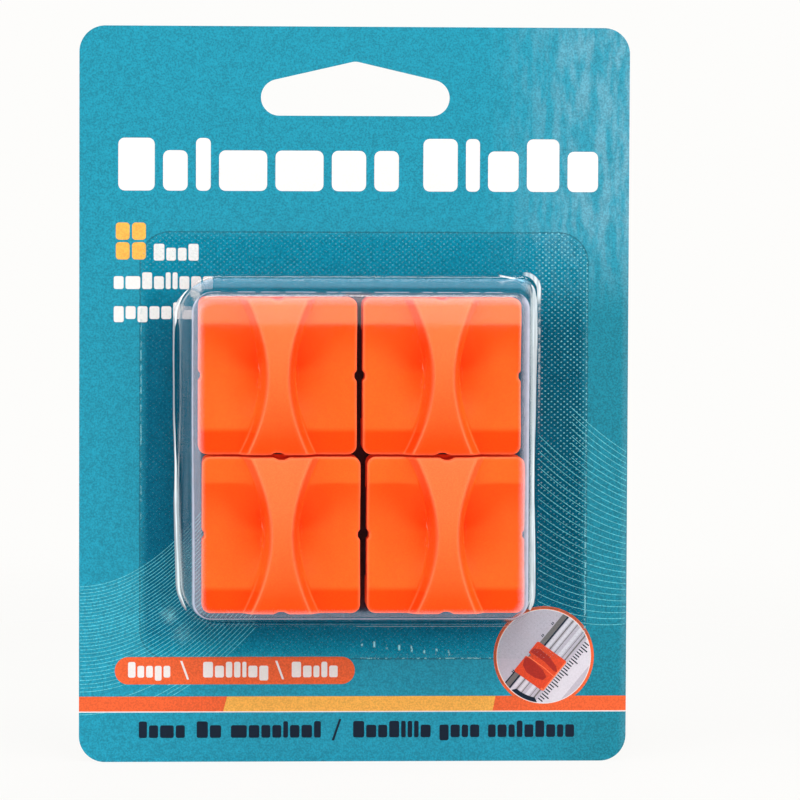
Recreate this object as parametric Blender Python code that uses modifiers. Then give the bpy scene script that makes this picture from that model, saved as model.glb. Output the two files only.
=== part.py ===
"""Hanging blister pack with four square cutter cartridges for a sliding paper trimmer.

The pack stands upright. The origin is the middle of the card's bottom edge: the card's mid-plane is
y = 0, and its printed front, with the blister and the cartridges, faces -Y.
Each cartridge is a rail shoe, a sprung grip cap, a blade holder, a blade and two return springs.
The cap, holder and blade of a cartridge slide together towards the card when the cap is pressed.
"""

import math

import bmesh
import bpy
from mathutils import Matrix

MM = 0.001

# Card
CARD_WIDTH = 112.0
CARD_HEIGHT = 150.0
CARD_THICKNESS = 0.6
CARD_CORNER_RADIUS = 5.3
SLOT_WIDTH = 38.4
SLOT_FLOOR_Z = 131.9
SLOT_LOBE_RADIUS = 3.7
SLOT_PEAK_Z = 142.9
SLOT_PEAK_RADIUS = 3.0

# Blister
SHEET = 0.35
FLANGE_GAP = 0.25
FLANGE_WIDTH = 91.2
FLANGE_HEIGHT = 87.1
FLANGE_CENTRE = (2.0, 64.65)
FLANGE_CORNER_RADIUS = 6.0
DOME_BASE = (74.5, 73.3)
DOME_BASE_CENTRE = (0.4, 63.6)
DOME_FRONT = (67.7, 66.1)
DOME_FRONT_CENTRE = (0.7, 63.6)
DOME_DEPTH = 18.05
DOME_BASE_CORNER = 9.0
DOME_FRONT_CORNER = 3.2
DOME_BASE_FILLET = 1.3
DOME_FRONT_FILLET = 1.1

# Cartridge: heights are measured from its rail side
CART_GAP = 0.3
PRESS_TRAVEL = 2.6
FIT_GAP = 0.3
CART_CENTRES = {
    "top_left": (-16.0, 79.45),
    "top_right": (17.2, 79.45),
    "bottom_left": (-15.2, 47.3),
    "bottom_right": (18.15, 47.3),
}

# Shoe
FLANGE_TOP = 1.8
DECK_BOTTOM = 2.1
DECK_TOP = 3.1
UPSTAND_TOP = 5.7
UPSTAND_WALL = 1.2
SHOE_BASE = (31.8, 31.5)
CHANNEL_HALF = 10.0
SEAT_HALF = 8.7
SEAT_HEIGHT = 1.85
LIP_DEPTH = 0.7
LIP_REACH = 0.9

# Cap
CAP_WIDTH = 32.0
CAP_LENGTH = 31.7
CAP_CORNER_RADIUS = 1.8
CAP_WALL = 1.4
SKIRT_BOTTOM = FLANGE_TOP + PRESS_TRAVEL + FIT_GAP
END_NOTCH_DEPTH = 0.5
END_NOTCH_HALF = 1.6
SIDE_NOTCH_DEPTH = 0.45
SIDE_NOTCH_HALF = 1.05
NOTCH_FLOOR_HALF = 0.4
RIDGE_TOP = 17.0
RIDGE_END_DROP = 3.9
RIDGE_WAIST_HALF = 2.15
RIDGE_END_HALF = 6.1
RIDGE_WALL_RUN = 1.25
RIDGE_FLARE = 0.4
WING_CREST = 11.2
WING_END = 10.4
WING_MID_OUTER = 9.9
WING_MID_INNER = 7.4
CREST_AT = 0.68
CENTRE_HALF = 11.4
RING_CEILING = UPSTAND_TOP + PRESS_TRAVEL + FIT_GAP
CENTRE_CEILING = DECK_TOP + PRESS_TRAVEL + FIT_GAP

# Blade holder, blade and springs
HOLDER_LENGTH = 13.0
HOLDER_WIDTH = 3.2
HOLDER_BOTTOM = 3.4
STEM_RADIUS = 1.3
STEM_TOP = 12.0
BLADE_LENGTH = 11.0
BLADE_THICKNESS = 0.4
BLADE_TOP = 5.1
BLADE_SHOULDER = 3.7
BLADE_TIP = 2.7
BLADE_BEVEL = 0.7
SPRING_OFFSET = 9.6
SPRING_RADIUS = 1.65
SPRING_WIRE = 0.22
SPRING_TURNS = 5.5
SPRING_BORE = 2.3
SPRING_BORE_TOP = 12.0
POST_RADIUS = 1.1
POST_HEIGHT = 2.4
SPRING_END_GAP = 0.15


# ---------------------------------------------------------------- helpers

def collection(name):
    made = bpy.data.collections.new(name)
    bpy.context.scene.collection.children.link(made)
    return made


def material(name, colour, roughness, metallic=0.0, alpha=1.0):
    made = bpy.data.materials.new(name)
    made.use_nodes = True
    shader = made.node_tree.nodes["Principled BSDF"]
    shader.inputs["Base Color"].default_value = (*colour, 1.0)
    shader.inputs["Roughness"].default_value = roughness
    shader.inputs["Metallic"].default_value = metallic
    shader.inputs["Alpha"].default_value = alpha
    return made


def new_object(name, mesh, mat, where):
    obj = bpy.data.objects.new(name, mesh)
    where.objects.link(obj)
    if mat is not None:
        mesh.materials.append(mat)
    return obj


def mesh_from(bm, name):
    bmesh.ops.recalc_face_normals(bm, faces=bm.faces[:])
    mesh = bpy.data.meshes.new(name)
    bm.to_mesh(mesh)
    bm.free()
    return mesh


def cutter(bm, name, where):
    obj = new_object(name, mesh_from(bm, name), None, where)
    obj.hide_render = True
    obj.display_type = "WIRE"
    return obj


def boolean(obj, tool, operation="DIFFERENCE"):
    modifier = obj.modifiers.new(operation.title() + "_" + tool.name, "BOOLEAN")
    modifier.operation = operation
    modifier.object = tool
    modifier.solver = "EXACT"


def smooth(obj, degrees=32.0):
    obj.data.shade_smooth()
    obj.data.set_sharp_from_angle(angle=math.radians(degrees))


def arc(centre, radius, start, end, steps):
    """Points on an arc, with angles in degrees, both ends included."""
    points = []
    for i in range(steps + 1):
        a = math.radians(start + (end - start) * i / steps)
        points.append((centre[0] + radius * math.cos(a), centre[1] + radius * math.sin(a)))
    return points


def rounded_rectangle(width, height, radius, steps, centre=(0.0, 0.0)):
    """Counter-clockwise outline of a rectangle with round corners."""
    outline = []
    for corner, (sx, sz) in enumerate(((1, 1), (-1, 1), (-1, -1), (1, -1))):
        middle = (centre[0] + sx * (width / 2 - radius), centre[1] + sz * (height / 2 - radius))
        outline += arc(middle, radius, 90 * corner, 90 * corner + 90, steps)
    return outline


def flat_plate(name, outlines, thickness):
    """A flat plate with holes, made as a filled 2D curve: outlines lie in x and z, in millimetres."""
    curve = bpy.data.curves.new(name, "CURVE")
    curve.dimensions = "2D"
    curve.fill_mode = "BOTH"
    curve.extrude = thickness / 2 * MM
    for outline in outlines:
        spline = curve.splines.new("POLY")
        spline.points.add(len(outline) - 1)
        for point, (x, z) in zip(spline.points, outline):
            point.co = (x * MM, z * MM, 0.0, 1.0)
        spline.use_cyclic_u = True
    holder = bpy.data.objects.new(name + "_curve", curve)
    bpy.context.scene.collection.objects.link(holder)
    holder.rotation_euler = (math.pi / 2, 0.0, 0.0)
    bpy.context.view_layer.update()
    graph = bpy.context.evaluated_depsgraph_get()
    mesh = bpy.data.meshes.new_from_object(holder.evaluated_get(graph))
    world = holder.matrix_world.copy()
    bpy.data.objects.remove(holder)
    bpy.data.curves.remove(curve)
    bm = bmesh.new()
    bm.from_mesh(mesh)
    bpy.data.meshes.remove(mesh)
    bmesh.ops.remove_doubles(bm, verts=bm.verts[:], dist=1e-6)
    return bm, world


def block(bm, x, z, low, high):
    """A box in cartridge space: half sizes x and z, from height low to height high above the rail side."""
    size = Matrix.Diagonal((2 * x * MM, (high - low) * MM, 2 * z * MM, 1.0))
    place = Matrix.Translation((0.0, -(low + high) / 2 * MM, 0.0))
    return bmesh.ops.create_cube(bm, size=1.0, matrix=place @ size)["verts"]


def round_upright_edges(bm, verts, radius, segments=3):
    """Rounds the four edges of a box that run along the press direction."""
    edges = {e for v in verts for e in v.link_edges if abs(e.verts[0].co.y - e.verts[1].co.y) > 1e-6}
    bmesh.ops.bevel(bm, geom=list(edges), offset=radius * MM, segments=segments, affect="EDGES", profile=0.5)


def rounded_block(x, z, low, high, radius):
    bm = bmesh.new()
    round_upright_edges(bm, block(bm, x, z, low, high), radius)
    return bm


def post(bm, radius, low, high, z=0.0, segments=16):
    """A round post in cartridge space, along the press direction."""
    turn = Matrix.Rotation(math.pi / 2, 4, "X")
    place = Matrix.Translation((0.0, -(low + high) / 2 * MM, z * MM))
    bmesh.ops.create_cone(
        bm, cap_ends=True, segments=segments, radius1=radius * MM, radius2=radius * MM,
        depth=(high - low) * MM, matrix=place @ turn,
    )


# ---------------------------------------------------------------- card

def butterfly_slot():
    """The euro hang slot: a flat floor, two round lobes and a roof that climbs to a rounded peak."""
    half = SLOT_WIDTH / 2
    lobe_z = SLOT_FLOOR_Z + SLOT_LOBE_RADIUS
    lobe_x = half - SLOT_LOBE_RADIUS
    peak_z = SLOT_PEAK_Z - SLOT_PEAK_RADIUS
    rise = math.degrees(math.atan2(peak_z - lobe_z, lobe_x)) * 0.92
    outline = arc((lobe_x, lobe_z), SLOT_LOBE_RADIUS, -90, 90 - rise, 10)
    outline += arc((0.0, peak_z), SLOT_PEAK_RADIUS, 90 - rise, 90 + rise, 6)
    outline += arc((-lobe_x, lobe_z), SLOT_LOBE_RADIUS, 90 + rise, 270, 10)
    return outline


def make_card(where):
    outer = rounded_rectangle(CARD_WIDTH, CARD_HEIGHT, CARD_CORNER_RADIUS, 8, (0.0, CARD_HEIGHT / 2))
    bm, world = flat_plate("hang_card", [outer, butterfly_slot()], CARD_THICKNESS)
    bm.transform(world)
    board = material("printed_board", (0.024, 0.27, 0.40), 0.38)
    return new_object("hang_card", mesh_from(bm, "hang_card"), board, where)


# ---------------------------------------------------------------- blister

def blister_rings():
    """The inner skin as (outline, depth) rings, from the flange's rim to the dome's front."""
    base_x, base_z = DOME_BASE
    front_x, front_z = DOME_FRONT
    skin = DOME_DEPTH - SHEET
    rings = [(rounded_rectangle(FLANGE_WIDTH, FLANGE_HEIGHT, FLANGE_CORNER_RADIUS, 6, FLANGE_CENTRE), 0.0)]
    steps = 3
    for i in range(steps + 1):
        turn = math.pi / 2 * i / steps
        grow = DOME_BASE_FILLET * (1 - math.sin(turn))
        lift = DOME_BASE_FILLET * (1 - math.cos(turn))
        outline = rounded_rectangle(
            base_x - 2 * DOME_BASE_FILLET + 2 * grow, base_z - 2 * DOME_BASE_FILLET + 2 * grow,
            DOME_BASE_CORNER - DOME_BASE_FILLET + grow, 6, DOME_BASE_CENTRE,
        )
        rings.append((outline, lift))
    for i in range(steps + 1):
        turn = math.pi / 2 * i / steps
        shrink = DOME_FRONT_FILLET * (1 - math.cos(turn))
        lift = skin - DOME_FRONT_FILLET * (1 - math.sin(turn))
        outline = rounded_rectangle(
            front_x - 2 * shrink, front_z - 2 * shrink, DOME_FRONT_CORNER - shrink * 0.6, 6, DOME_FRONT_CENTRE,
        )
        rings.append((outline, lift))
    return rings


def make_blister(where):
    """An open skin lofted through the rings and closed at the front, thickened by Solidify."""
    bm = bmesh.new()
    floor = CARD_THICKNESS / 2 + FLANGE_GAP
    loops = []
    for outline, depth in blister_rings():
        loops.append([bm.verts.new((x * MM, -(floor + depth) * MM, z * MM)) for x, z in outline])
    for lower, upper in zip(loops, loops[1:]):
        for i in range(len(lower)):
            j = (i + 1) % len(lower)
            bm.faces.new((lower[i], lower[j], upper[j], upper[i]))
    bm.faces.new(loops[-1])
    mesh = mesh_from(bm, "clear_blister")
    clear = material("clear_sheet", (0.95, 0.98, 1.0), 0.06, alpha=0.2)
    obj = new_object("clear_blister", mesh, clear, where)
    thick = obj.modifiers.new("Sheet", "SOLIDIFY")
    thick.thickness = SHEET * MM
    thick.offset = 1.0
    thick.use_even_offset = True
    smooth(obj)
    return obj


# ---------------------------------------------------------------- cartridge: cap

def ridge_half_width(s):
    """Half width of the ridge's top at s, from -1 at one end of the cap to 1 at the other: an hourglass."""
    return RIDGE_WAIST_HALF + (RIDGE_END_HALF - RIDGE_WAIST_HALF) * abs(s) ** 1.9


def wing_height(s, t):
    """Height of a wing at s along the ridge and t across, from 0 at the ridge's foot to 1 at the side edge.

    Between two crests the wing is a finger scoop, deepest beside the ridge. The crests are crisp at the
    side edges and melt into the scoop near the ridge. Beyond them the wing slopes to the cap's ends.
    """
    a = abs(s)
    if a > CREST_AT:
        return WING_CREST + (WING_END - WING_CREST) * (a - CREST_AT) / (1 - CREST_AT)
    middle = WING_MID_INNER + (WING_MID_OUTER - WING_MID_INNER) * (1 - (1 - t) ** 2)
    q = a / CREST_AT
    crisp = min(1.0, t / 0.6)
    rise = crisp * q ** 2 + (1 - crisp) * q * q * (3 - 2 * q)
    return middle + (WING_CREST - middle) * rise


def section(z):
    """Points (x, height) across the cap's top at z, from the left side to the middle."""
    s = max(-1.0, min(1.0, 2 * z / CAP_LENGTH))
    top = RIDGE_TOP - RIDGE_END_DROP * s * s
    edge = ridge_half_width(s)
    foot = edge + RIDGE_WALL_RUN + RIDGE_FLARE * s * s
    outer = CAP_WIDTH / 2 + 1.0
    points = []
    for t in (1.0, 0.72, 0.46, 0.24, 0.09, 0.0):
        x = foot + (outer - foot) * t
        inside = min(1.0, (x - foot) / (CAP_WIDTH / 2 - foot))
        points.append((-x, wing_height(s, inside)))
    points.append((-(edge + 0.12), top - 0.55))
    points.append((-(edge - 0.3), top - 0.06))
    points.append((-(edge - 0.3) * 0.45, top))
    return points


def cap_top_solid():
    """The cap's top surface lofted along z through its sections, over a flat underside."""
    stations = [-1.04, -0.9, -0.79, -0.68, -0.52, -0.34, -0.17, 0.0, 0.17, 0.34, 0.52, 0.68, 0.79, 0.9, 1.04]
    bm = bmesh.new()
    rows = []
    for s in stations:
        z = s * CAP_LENGTH / 2
        left = section(z)
        points = left + [(-x, h) for x, h in reversed(left)]
        top = [bm.verts.new((x * MM, -h * MM, z * MM)) for x, h in points]
        low = [bm.verts.new((x * MM, -SKIRT_BOTTOM * MM, z * MM)) for x, _ in (points[0], points[-1])]
        rows.append((top, low))
    for (top_a, low_a), (top_b, low_b) in zip(rows, rows[1:]):
        for i in range(len(top_a) - 1):
            bm.faces.new((top_a[i], top_a[i + 1], top_b[i + 1], top_b[i]))
        bm.faces.new((low_a[0], top_a[0], top_b[0], low_b[0]))
        bm.faces.new((low_a[1], low_b[1], top_b[-1], top_a[-1]))
        bm.faces.new((low_a[0], low_b[0], low_b[1], low_a[1]))
    for top, low in (rows[0], rows[-1]):
        bm.faces.new(top + [low[1], low[0]])
    bmesh.ops.triangulate(bm, faces=bm.faces[:])
    return bm


def cap_outline():
    """Plan of the cap: a rounded square with a small sighting notch in the middle of each side."""
    half_x = CAP_WIDTH / 2
    half_z = CAP_LENGTH / 2
    corners = rounded_rectangle(CAP_WIDTH, CAP_LENGTH, CAP_CORNER_RADIUS, 4)
    end_floor = half_z - END_NOTCH_DEPTH
    side_floor = -half_x + SIDE_NOTCH_DEPTH
    top = [(END_NOTCH_HALF, half_z), (NOTCH_FLOOR_HALF, end_floor), (-NOTCH_FLOOR_HALF, end_floor),
           (-END_NOTCH_HALF, half_z)]
    side = [(-half_x, SIDE_NOTCH_HALF), (side_floor, NOTCH_FLOOR_HALF), (side_floor, -NOTCH_FLOOR_HALF),
            (-half_x, -SIDE_NOTCH_HALF)]
    per_corner = len(corners) // 4
    outline = corners[:per_corner] + top
    outline += corners[per_corner:2 * per_corner] + side
    outline += corners[2 * per_corner:3 * per_corner] + [(-x, -z) for x, z in top]
    outline += corners[3 * per_corner:] + [(-x, -z) for x, z in side]
    return outline


def outline_prism(outline, low, high):
    bm, world = flat_plate("prism", [outline], high - low)
    bm.transform(world)
    bm.transform(Matrix.Translation((0.0, -(low + high) / 2 * MM, 0.0)))
    return bm


def make_cap_mesh(tools):
    """The grip cap, made once and shared by the four cartridges."""
    cap = new_object("cap_form", mesh_from(cap_top_solid(), "cap_form"), None, tools)
    prism = outline_prism(cap_outline(), SKIRT_BOTTOM - 1.0, RIDGE_TOP + 2.0)
    boolean(cap, cutter(prism, "cap_plan", tools), "INTERSECT")

    inner_x = CAP_WIDTH / 2 - CAP_WALL
    inner_z = CAP_LENGTH / 2 - CAP_WALL
    pocket = rounded_block(inner_x, inner_z, SKIRT_BOTTOM - 1.0, RING_CEILING, 1.0)
    island = rounded_block(CENTRE_HALF, CENTRE_HALF, CENTRE_CEILING, RING_CEILING + 1.0, 1.0)
    ring = cutter(pocket, "cap_pocket", tools)
    boolean(ring, cutter(island, "cap_island", tools))
    boolean(cap, ring)

    bores = bmesh.new()
    post(bores, STEM_RADIUS + FIT_GAP, CENTRE_CEILING - 1.0, STEM_TOP + FIT_GAP)
    boolean(cap, cutter(bores, "cap_stem_bore", tools))
    for side in (-1, 1):
        bore = bmesh.new()
        post(bore, SPRING_BORE, CENTRE_CEILING - 1.0, SPRING_BORE_TOP, z=side * SPRING_OFFSET)
        spring_bore = cutter(bore, "cap_spring_bore_%d" % side, tools)
        pin = bmesh.new()
        pin_end = SPRING_BORE_TOP - POST_HEIGHT
        post(pin, POST_RADIUS, pin_end, SPRING_BORE_TOP + 1.0, z=side * SPRING_OFFSET, segments=12)
        boolean(spring_bore, cutter(pin, "cap_spring_post_%d" % side, tools))
        boolean(cap, spring_bore)
    return finished_mesh(cap, "grip_cap")


def finished_mesh(obj, name):
    """The mesh of an object with its modifiers applied; the object itself stays a hidden guide."""
    bpy.context.view_layer.update()
    graph = bpy.context.evaluated_depsgraph_get()
    mesh = bpy.data.meshes.new_from_object(obj.evaluated_get(graph))
    mesh.name = name
    bm = bmesh.new()
    bm.from_mesh(mesh)
    bmesh.ops.remove_doubles(bm, verts=bm.verts[:], dist=1e-6)
    bm.to_mesh(mesh)
    bm.free()
    obj.hide_render = True
    obj.display_type = "WIRE"
    return mesh


# ---------------------------------------------------------------- cartridge: shoe

def make_shoe_mesh(tools):
    """Base flange, guiding upstand, deck with a blade window, and a rail channel with a seat and two lips."""
    wall_x = CAP_WIDTH / 2 - CAP_WALL - FIT_GAP
    wall_z = CAP_LENGTH / 2 - CAP_WALL - FIT_GAP
    flange = mesh_from(rounded_block(SHOE_BASE[0] / 2, SHOE_BASE[1] / 2, 0.0, FLANGE_TOP, 1.5), "shoe_form")
    shoe = new_object("shoe_form", flange, None, tools)
    upstand = rounded_block(wall_x, wall_z, 0.4, UPSTAND_TOP, 0.8)
    boolean(shoe, cutter(upstand, "shoe_upstand", tools), "UNION")
    well = rounded_block(wall_x - UPSTAND_WALL, wall_z - UPSTAND_WALL, DECK_TOP, UPSTAND_TOP + 1.0, 0.6)
    boolean(shoe, cutter(well, "shoe_well", tools))

    channel = bmesh.new()
    block(channel, CAP_WIDTH, CHANNEL_HALF, LIP_DEPTH, DECK_BOTTOM)
    channel_cutter = cutter(channel, "shoe_channel", tools)
    seat = bmesh.new()
    block(seat, CAP_WIDTH + 1.0, SEAT_HALF, SEAT_HEIGHT, DECK_BOTTOM + 1.0)
    boolean(channel_cutter, cutter(seat, "shoe_seat", tools))
    boolean(shoe, channel_cutter)
    mouth = bmesh.new()
    block(mouth, CAP_WIDTH, CHANNEL_HALF - LIP_REACH, -1.0, LIP_DEPTH + 0.2)
    boolean(shoe, cutter(mouth, "shoe_mouth", tools))
    window_x = HOLDER_LENGTH / 2 + 0.4
    window_z = HOLDER_WIDTH / 2 + 0.4
    window = rounded_block(window_x, window_z, DECK_BOTTOM - 1.0, DECK_TOP + 1.0, 0.5)
    boolean(shoe, cutter(window, "shoe_window", tools))
    for side in (-1, 1):
        pin = bmesh.new()
        post(pin, POST_RADIUS, DECK_TOP - 0.5, DECK_TOP + POST_HEIGHT, z=side * SPRING_OFFSET, segments=12)
        boolean(shoe, cutter(pin, "shoe_spring_post_%d" % side, tools), "UNION")
    return finished_mesh(shoe, "rail_shoe")


# ---------------------------------------------------------------- cartridge: holder, blade, springs

def make_holder_mesh(tools):
    bar = rounded_block(HOLDER_LENGTH / 2, HOLDER_WIDTH / 2, HOLDER_BOTTOM, CENTRE_CEILING - 0.2, 0.5)
    holder = new_object("holder_form", mesh_from(bar, "holder_form"), None, tools)
    stem = bmesh.new()
    post(stem, STEM_RADIUS, CENTRE_CEILING - 1.0, STEM_TOP)
    boolean(holder, cutter(stem, "holder_stem", tools), "UNION")
    slit = bmesh.new()
    block(slit, BLADE_LENGTH / 2 + FIT_GAP, BLADE_THICKNESS / 2 + 0.15, HOLDER_BOTTOM - 1.0, BLADE_TOP + 0.15)
    boolean(holder, cutter(slit, "holder_slit", tools))
    return finished_mesh(holder, "blade_holder")


def make_blade_mesh(tools):
    """A small steel plate with a shallow pointed edge, ground from both sides."""
    half = BLADE_LENGTH / 2
    edge_line = [(-half, BLADE_SHOULDER), (0.0, BLADE_TIP), (half, BLADE_SHOULDER)]
    body = [(-half, BLADE_TOP)] + [(x, h + BLADE_BEVEL) for x, h in edge_line] + [(half, BLADE_TOP)]
    bm = bmesh.new()
    sides = []
    for z in (-BLADE_THICKNESS / 2, BLADE_THICKNESS / 2):
        flat = [bm.verts.new((x * MM, -h * MM, z * MM)) for x, h in body]
        sides.append(flat)
        bm.faces.new(flat)
    edge = [bm.verts.new((x * MM, -h * MM, 0.0)) for x, h in edge_line]
    near, far = sides
    bm.faces.new((near[4], near[0], far[0], far[4]))
    for i in (0, 1):
        bm.faces.new((near[i + 1], edge[i], edge[i + 1], near[i + 2]))
        bm.faces.new((far[i + 1], far[i + 2], edge[i + 1], edge[i]))
    bm.faces.new((near[0], near[1], far[1], far[0]))
    bm.faces.new((near[1], edge[0], far[1]))
    bm.faces.new((near[3], near[4], far[4], far[3]))
    bm.faces.new((near[3], far[3], edge[2]))
    return mesh_from(bm, "blade")


def spring_points():
    """A compression spring's centre line, with the pitch closing up at both ends."""
    low = DECK_TOP + SPRING_WIRE + SPRING_END_GAP
    high = SPRING_BORE_TOP - SPRING_WIRE - SPRING_END_GAP
    per_turn = 9
    count = int(SPRING_TURNS * per_turn)
    closed = SPRING_WIRE * 2.3
    points = []
    for i in range(count + 1):
        turn = i / per_turn
        share = (turn - 1.0) / (SPRING_TURNS - 2.0)
        if turn < 1.0:
            h = low + closed * turn
        elif share > 1.0:
            h = high - closed * (SPRING_TURNS - turn)
        else:
            h = low + closed + (high - low - 2 * closed) * share
        a = 2 * math.pi * turn
        points.append((SPRING_RADIUS * math.cos(a), h, SPRING_RADIUS * math.sin(a)))
    return points


def make_spring_mesh():
    curve = bpy.data.curves.new("spring_path", "CURVE")
    curve.dimensions = "3D"
    curve.bevel_depth = SPRING_WIRE * MM
    curve.bevel_resolution = 1
    curve.use_fill_caps = True
    points = spring_points()
    spline = curve.splines.new("POLY")
    spline.points.add(len(points) - 1)
    for point, (x, h, z) in zip(spline.points, points):
        point.co = (x * MM, -h * MM, z * MM, 1.0)
    holder = bpy.data.objects.new("spring_path", curve)
    bpy.context.scene.collection.objects.link(holder)
    bpy.context.view_layer.update()
    graph = bpy.context.evaluated_depsgraph_get()
    mesh = bpy.data.meshes.new_from_object(holder.evaluated_get(graph))
    bpy.data.objects.remove(holder)
    bpy.data.curves.remove(curve)
    bm = bmesh.new()
    bm.from_mesh(mesh)
    bpy.data.meshes.remove(mesh)
    bmesh.ops.remove_doubles(bm, verts=bm.verts[:], dist=1e-7)
    return mesh_from(bm, "return_spring")


# ---------------------------------------------------------------- assembly

def make_cartridges(where, tools):
    orange = material("orange_plastic", (0.95, 0.14, 0.015), 0.4)
    shoe_orange = material("orange_shoe_plastic", (0.88, 0.12, 0.015), 0.45)
    white = material("holder_plastic", (0.8, 0.8, 0.78), 0.5)
    steel = material("blade_steel", (0.62, 0.63, 0.65), 0.25, 1.0)
    wire = material("spring_wire", (0.55, 0.56, 0.58), 0.3, 1.0)
    shared = [
        ("grip_cap", make_cap_mesh(tools), orange, 0.0),
        ("rail_shoe", make_shoe_mesh(tools), shoe_orange, 0.0),
        ("blade_holder", make_holder_mesh(tools), white, 0.0),
        ("blade", make_blade_mesh(tools), steel, 0.0),
    ]
    spring = make_spring_mesh()
    shared.append(("return_spring_upper", spring, wire, SPRING_OFFSET))
    shared.append(("return_spring_lower", spring, wire, -SPRING_OFFSET))
    for _, mesh, mat, _ in shared:
        mesh.materials.clear()
        mesh.materials.append(mat)
        mesh.shade_smooth()
        mesh.set_sharp_from_angle(angle=math.radians(32.0))
    rail_side = CARD_THICKNESS / 2 + CART_GAP
    for place, (x, z) in CART_CENTRES.items():
        frame = bpy.data.objects.new(place + "_cartridge", None)
        frame.location = (x * MM, -rail_side * MM, z * MM)
        where.objects.link(frame)
        for piece, mesh, _, offset in shared:
            obj = bpy.data.objects.new(place + "_" + piece, mesh)
            where.objects.link(obj)
            obj.parent = frame
            obj.location = (0.0, 0.0, offset * MM)


def main():
    for obj in list(bpy.data.objects):
        bpy.data.objects.remove(obj)
    pack = collection("trimmer_blade_pack")
    tools = collection("cutters")
    make_card(pack)
    make_blister(pack)
    make_cartridges(pack, tools)


main()
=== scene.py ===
"""Hanging blister pack with four square cutter cartridges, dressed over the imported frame.

Everything is in metres in the frame of the CAD. Helper functions take millimetres. The printed front
of the card faces -Y. "Height" of a cartridge point is its distance from the cartridge's rail side.
"""

import math
import random

import bmesh
import bpy
import numpy as np
from mathutils import Matrix, Vector


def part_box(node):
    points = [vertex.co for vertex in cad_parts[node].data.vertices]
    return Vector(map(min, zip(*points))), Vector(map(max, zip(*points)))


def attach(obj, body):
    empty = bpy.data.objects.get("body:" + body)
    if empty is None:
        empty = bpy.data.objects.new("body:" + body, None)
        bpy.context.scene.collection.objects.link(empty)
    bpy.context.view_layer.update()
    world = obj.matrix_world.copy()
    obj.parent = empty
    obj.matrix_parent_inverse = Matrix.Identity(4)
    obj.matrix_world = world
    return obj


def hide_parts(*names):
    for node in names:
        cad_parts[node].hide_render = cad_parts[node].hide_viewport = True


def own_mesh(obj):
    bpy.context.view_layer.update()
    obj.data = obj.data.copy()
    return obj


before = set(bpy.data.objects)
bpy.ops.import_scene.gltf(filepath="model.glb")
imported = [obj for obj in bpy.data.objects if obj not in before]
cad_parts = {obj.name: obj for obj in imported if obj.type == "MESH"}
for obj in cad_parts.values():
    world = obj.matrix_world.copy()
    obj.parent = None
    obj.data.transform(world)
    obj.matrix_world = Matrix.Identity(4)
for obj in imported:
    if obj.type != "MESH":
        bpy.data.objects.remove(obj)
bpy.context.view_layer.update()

MM = 0.001
PLACES = ("top_left", "top_right", "bottom_left", "bottom_right")

card_low, card_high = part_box("hang_card")
FACE = card_low.y / MM
CARD_X = card_high.x / MM
CARD_Z = card_high.z / MM
sheet_low, sheet_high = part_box("clear_blister")
DOME_TOP = -sheet_low.y / MM


# ---------------------------------------------------------------- nodes

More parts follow.
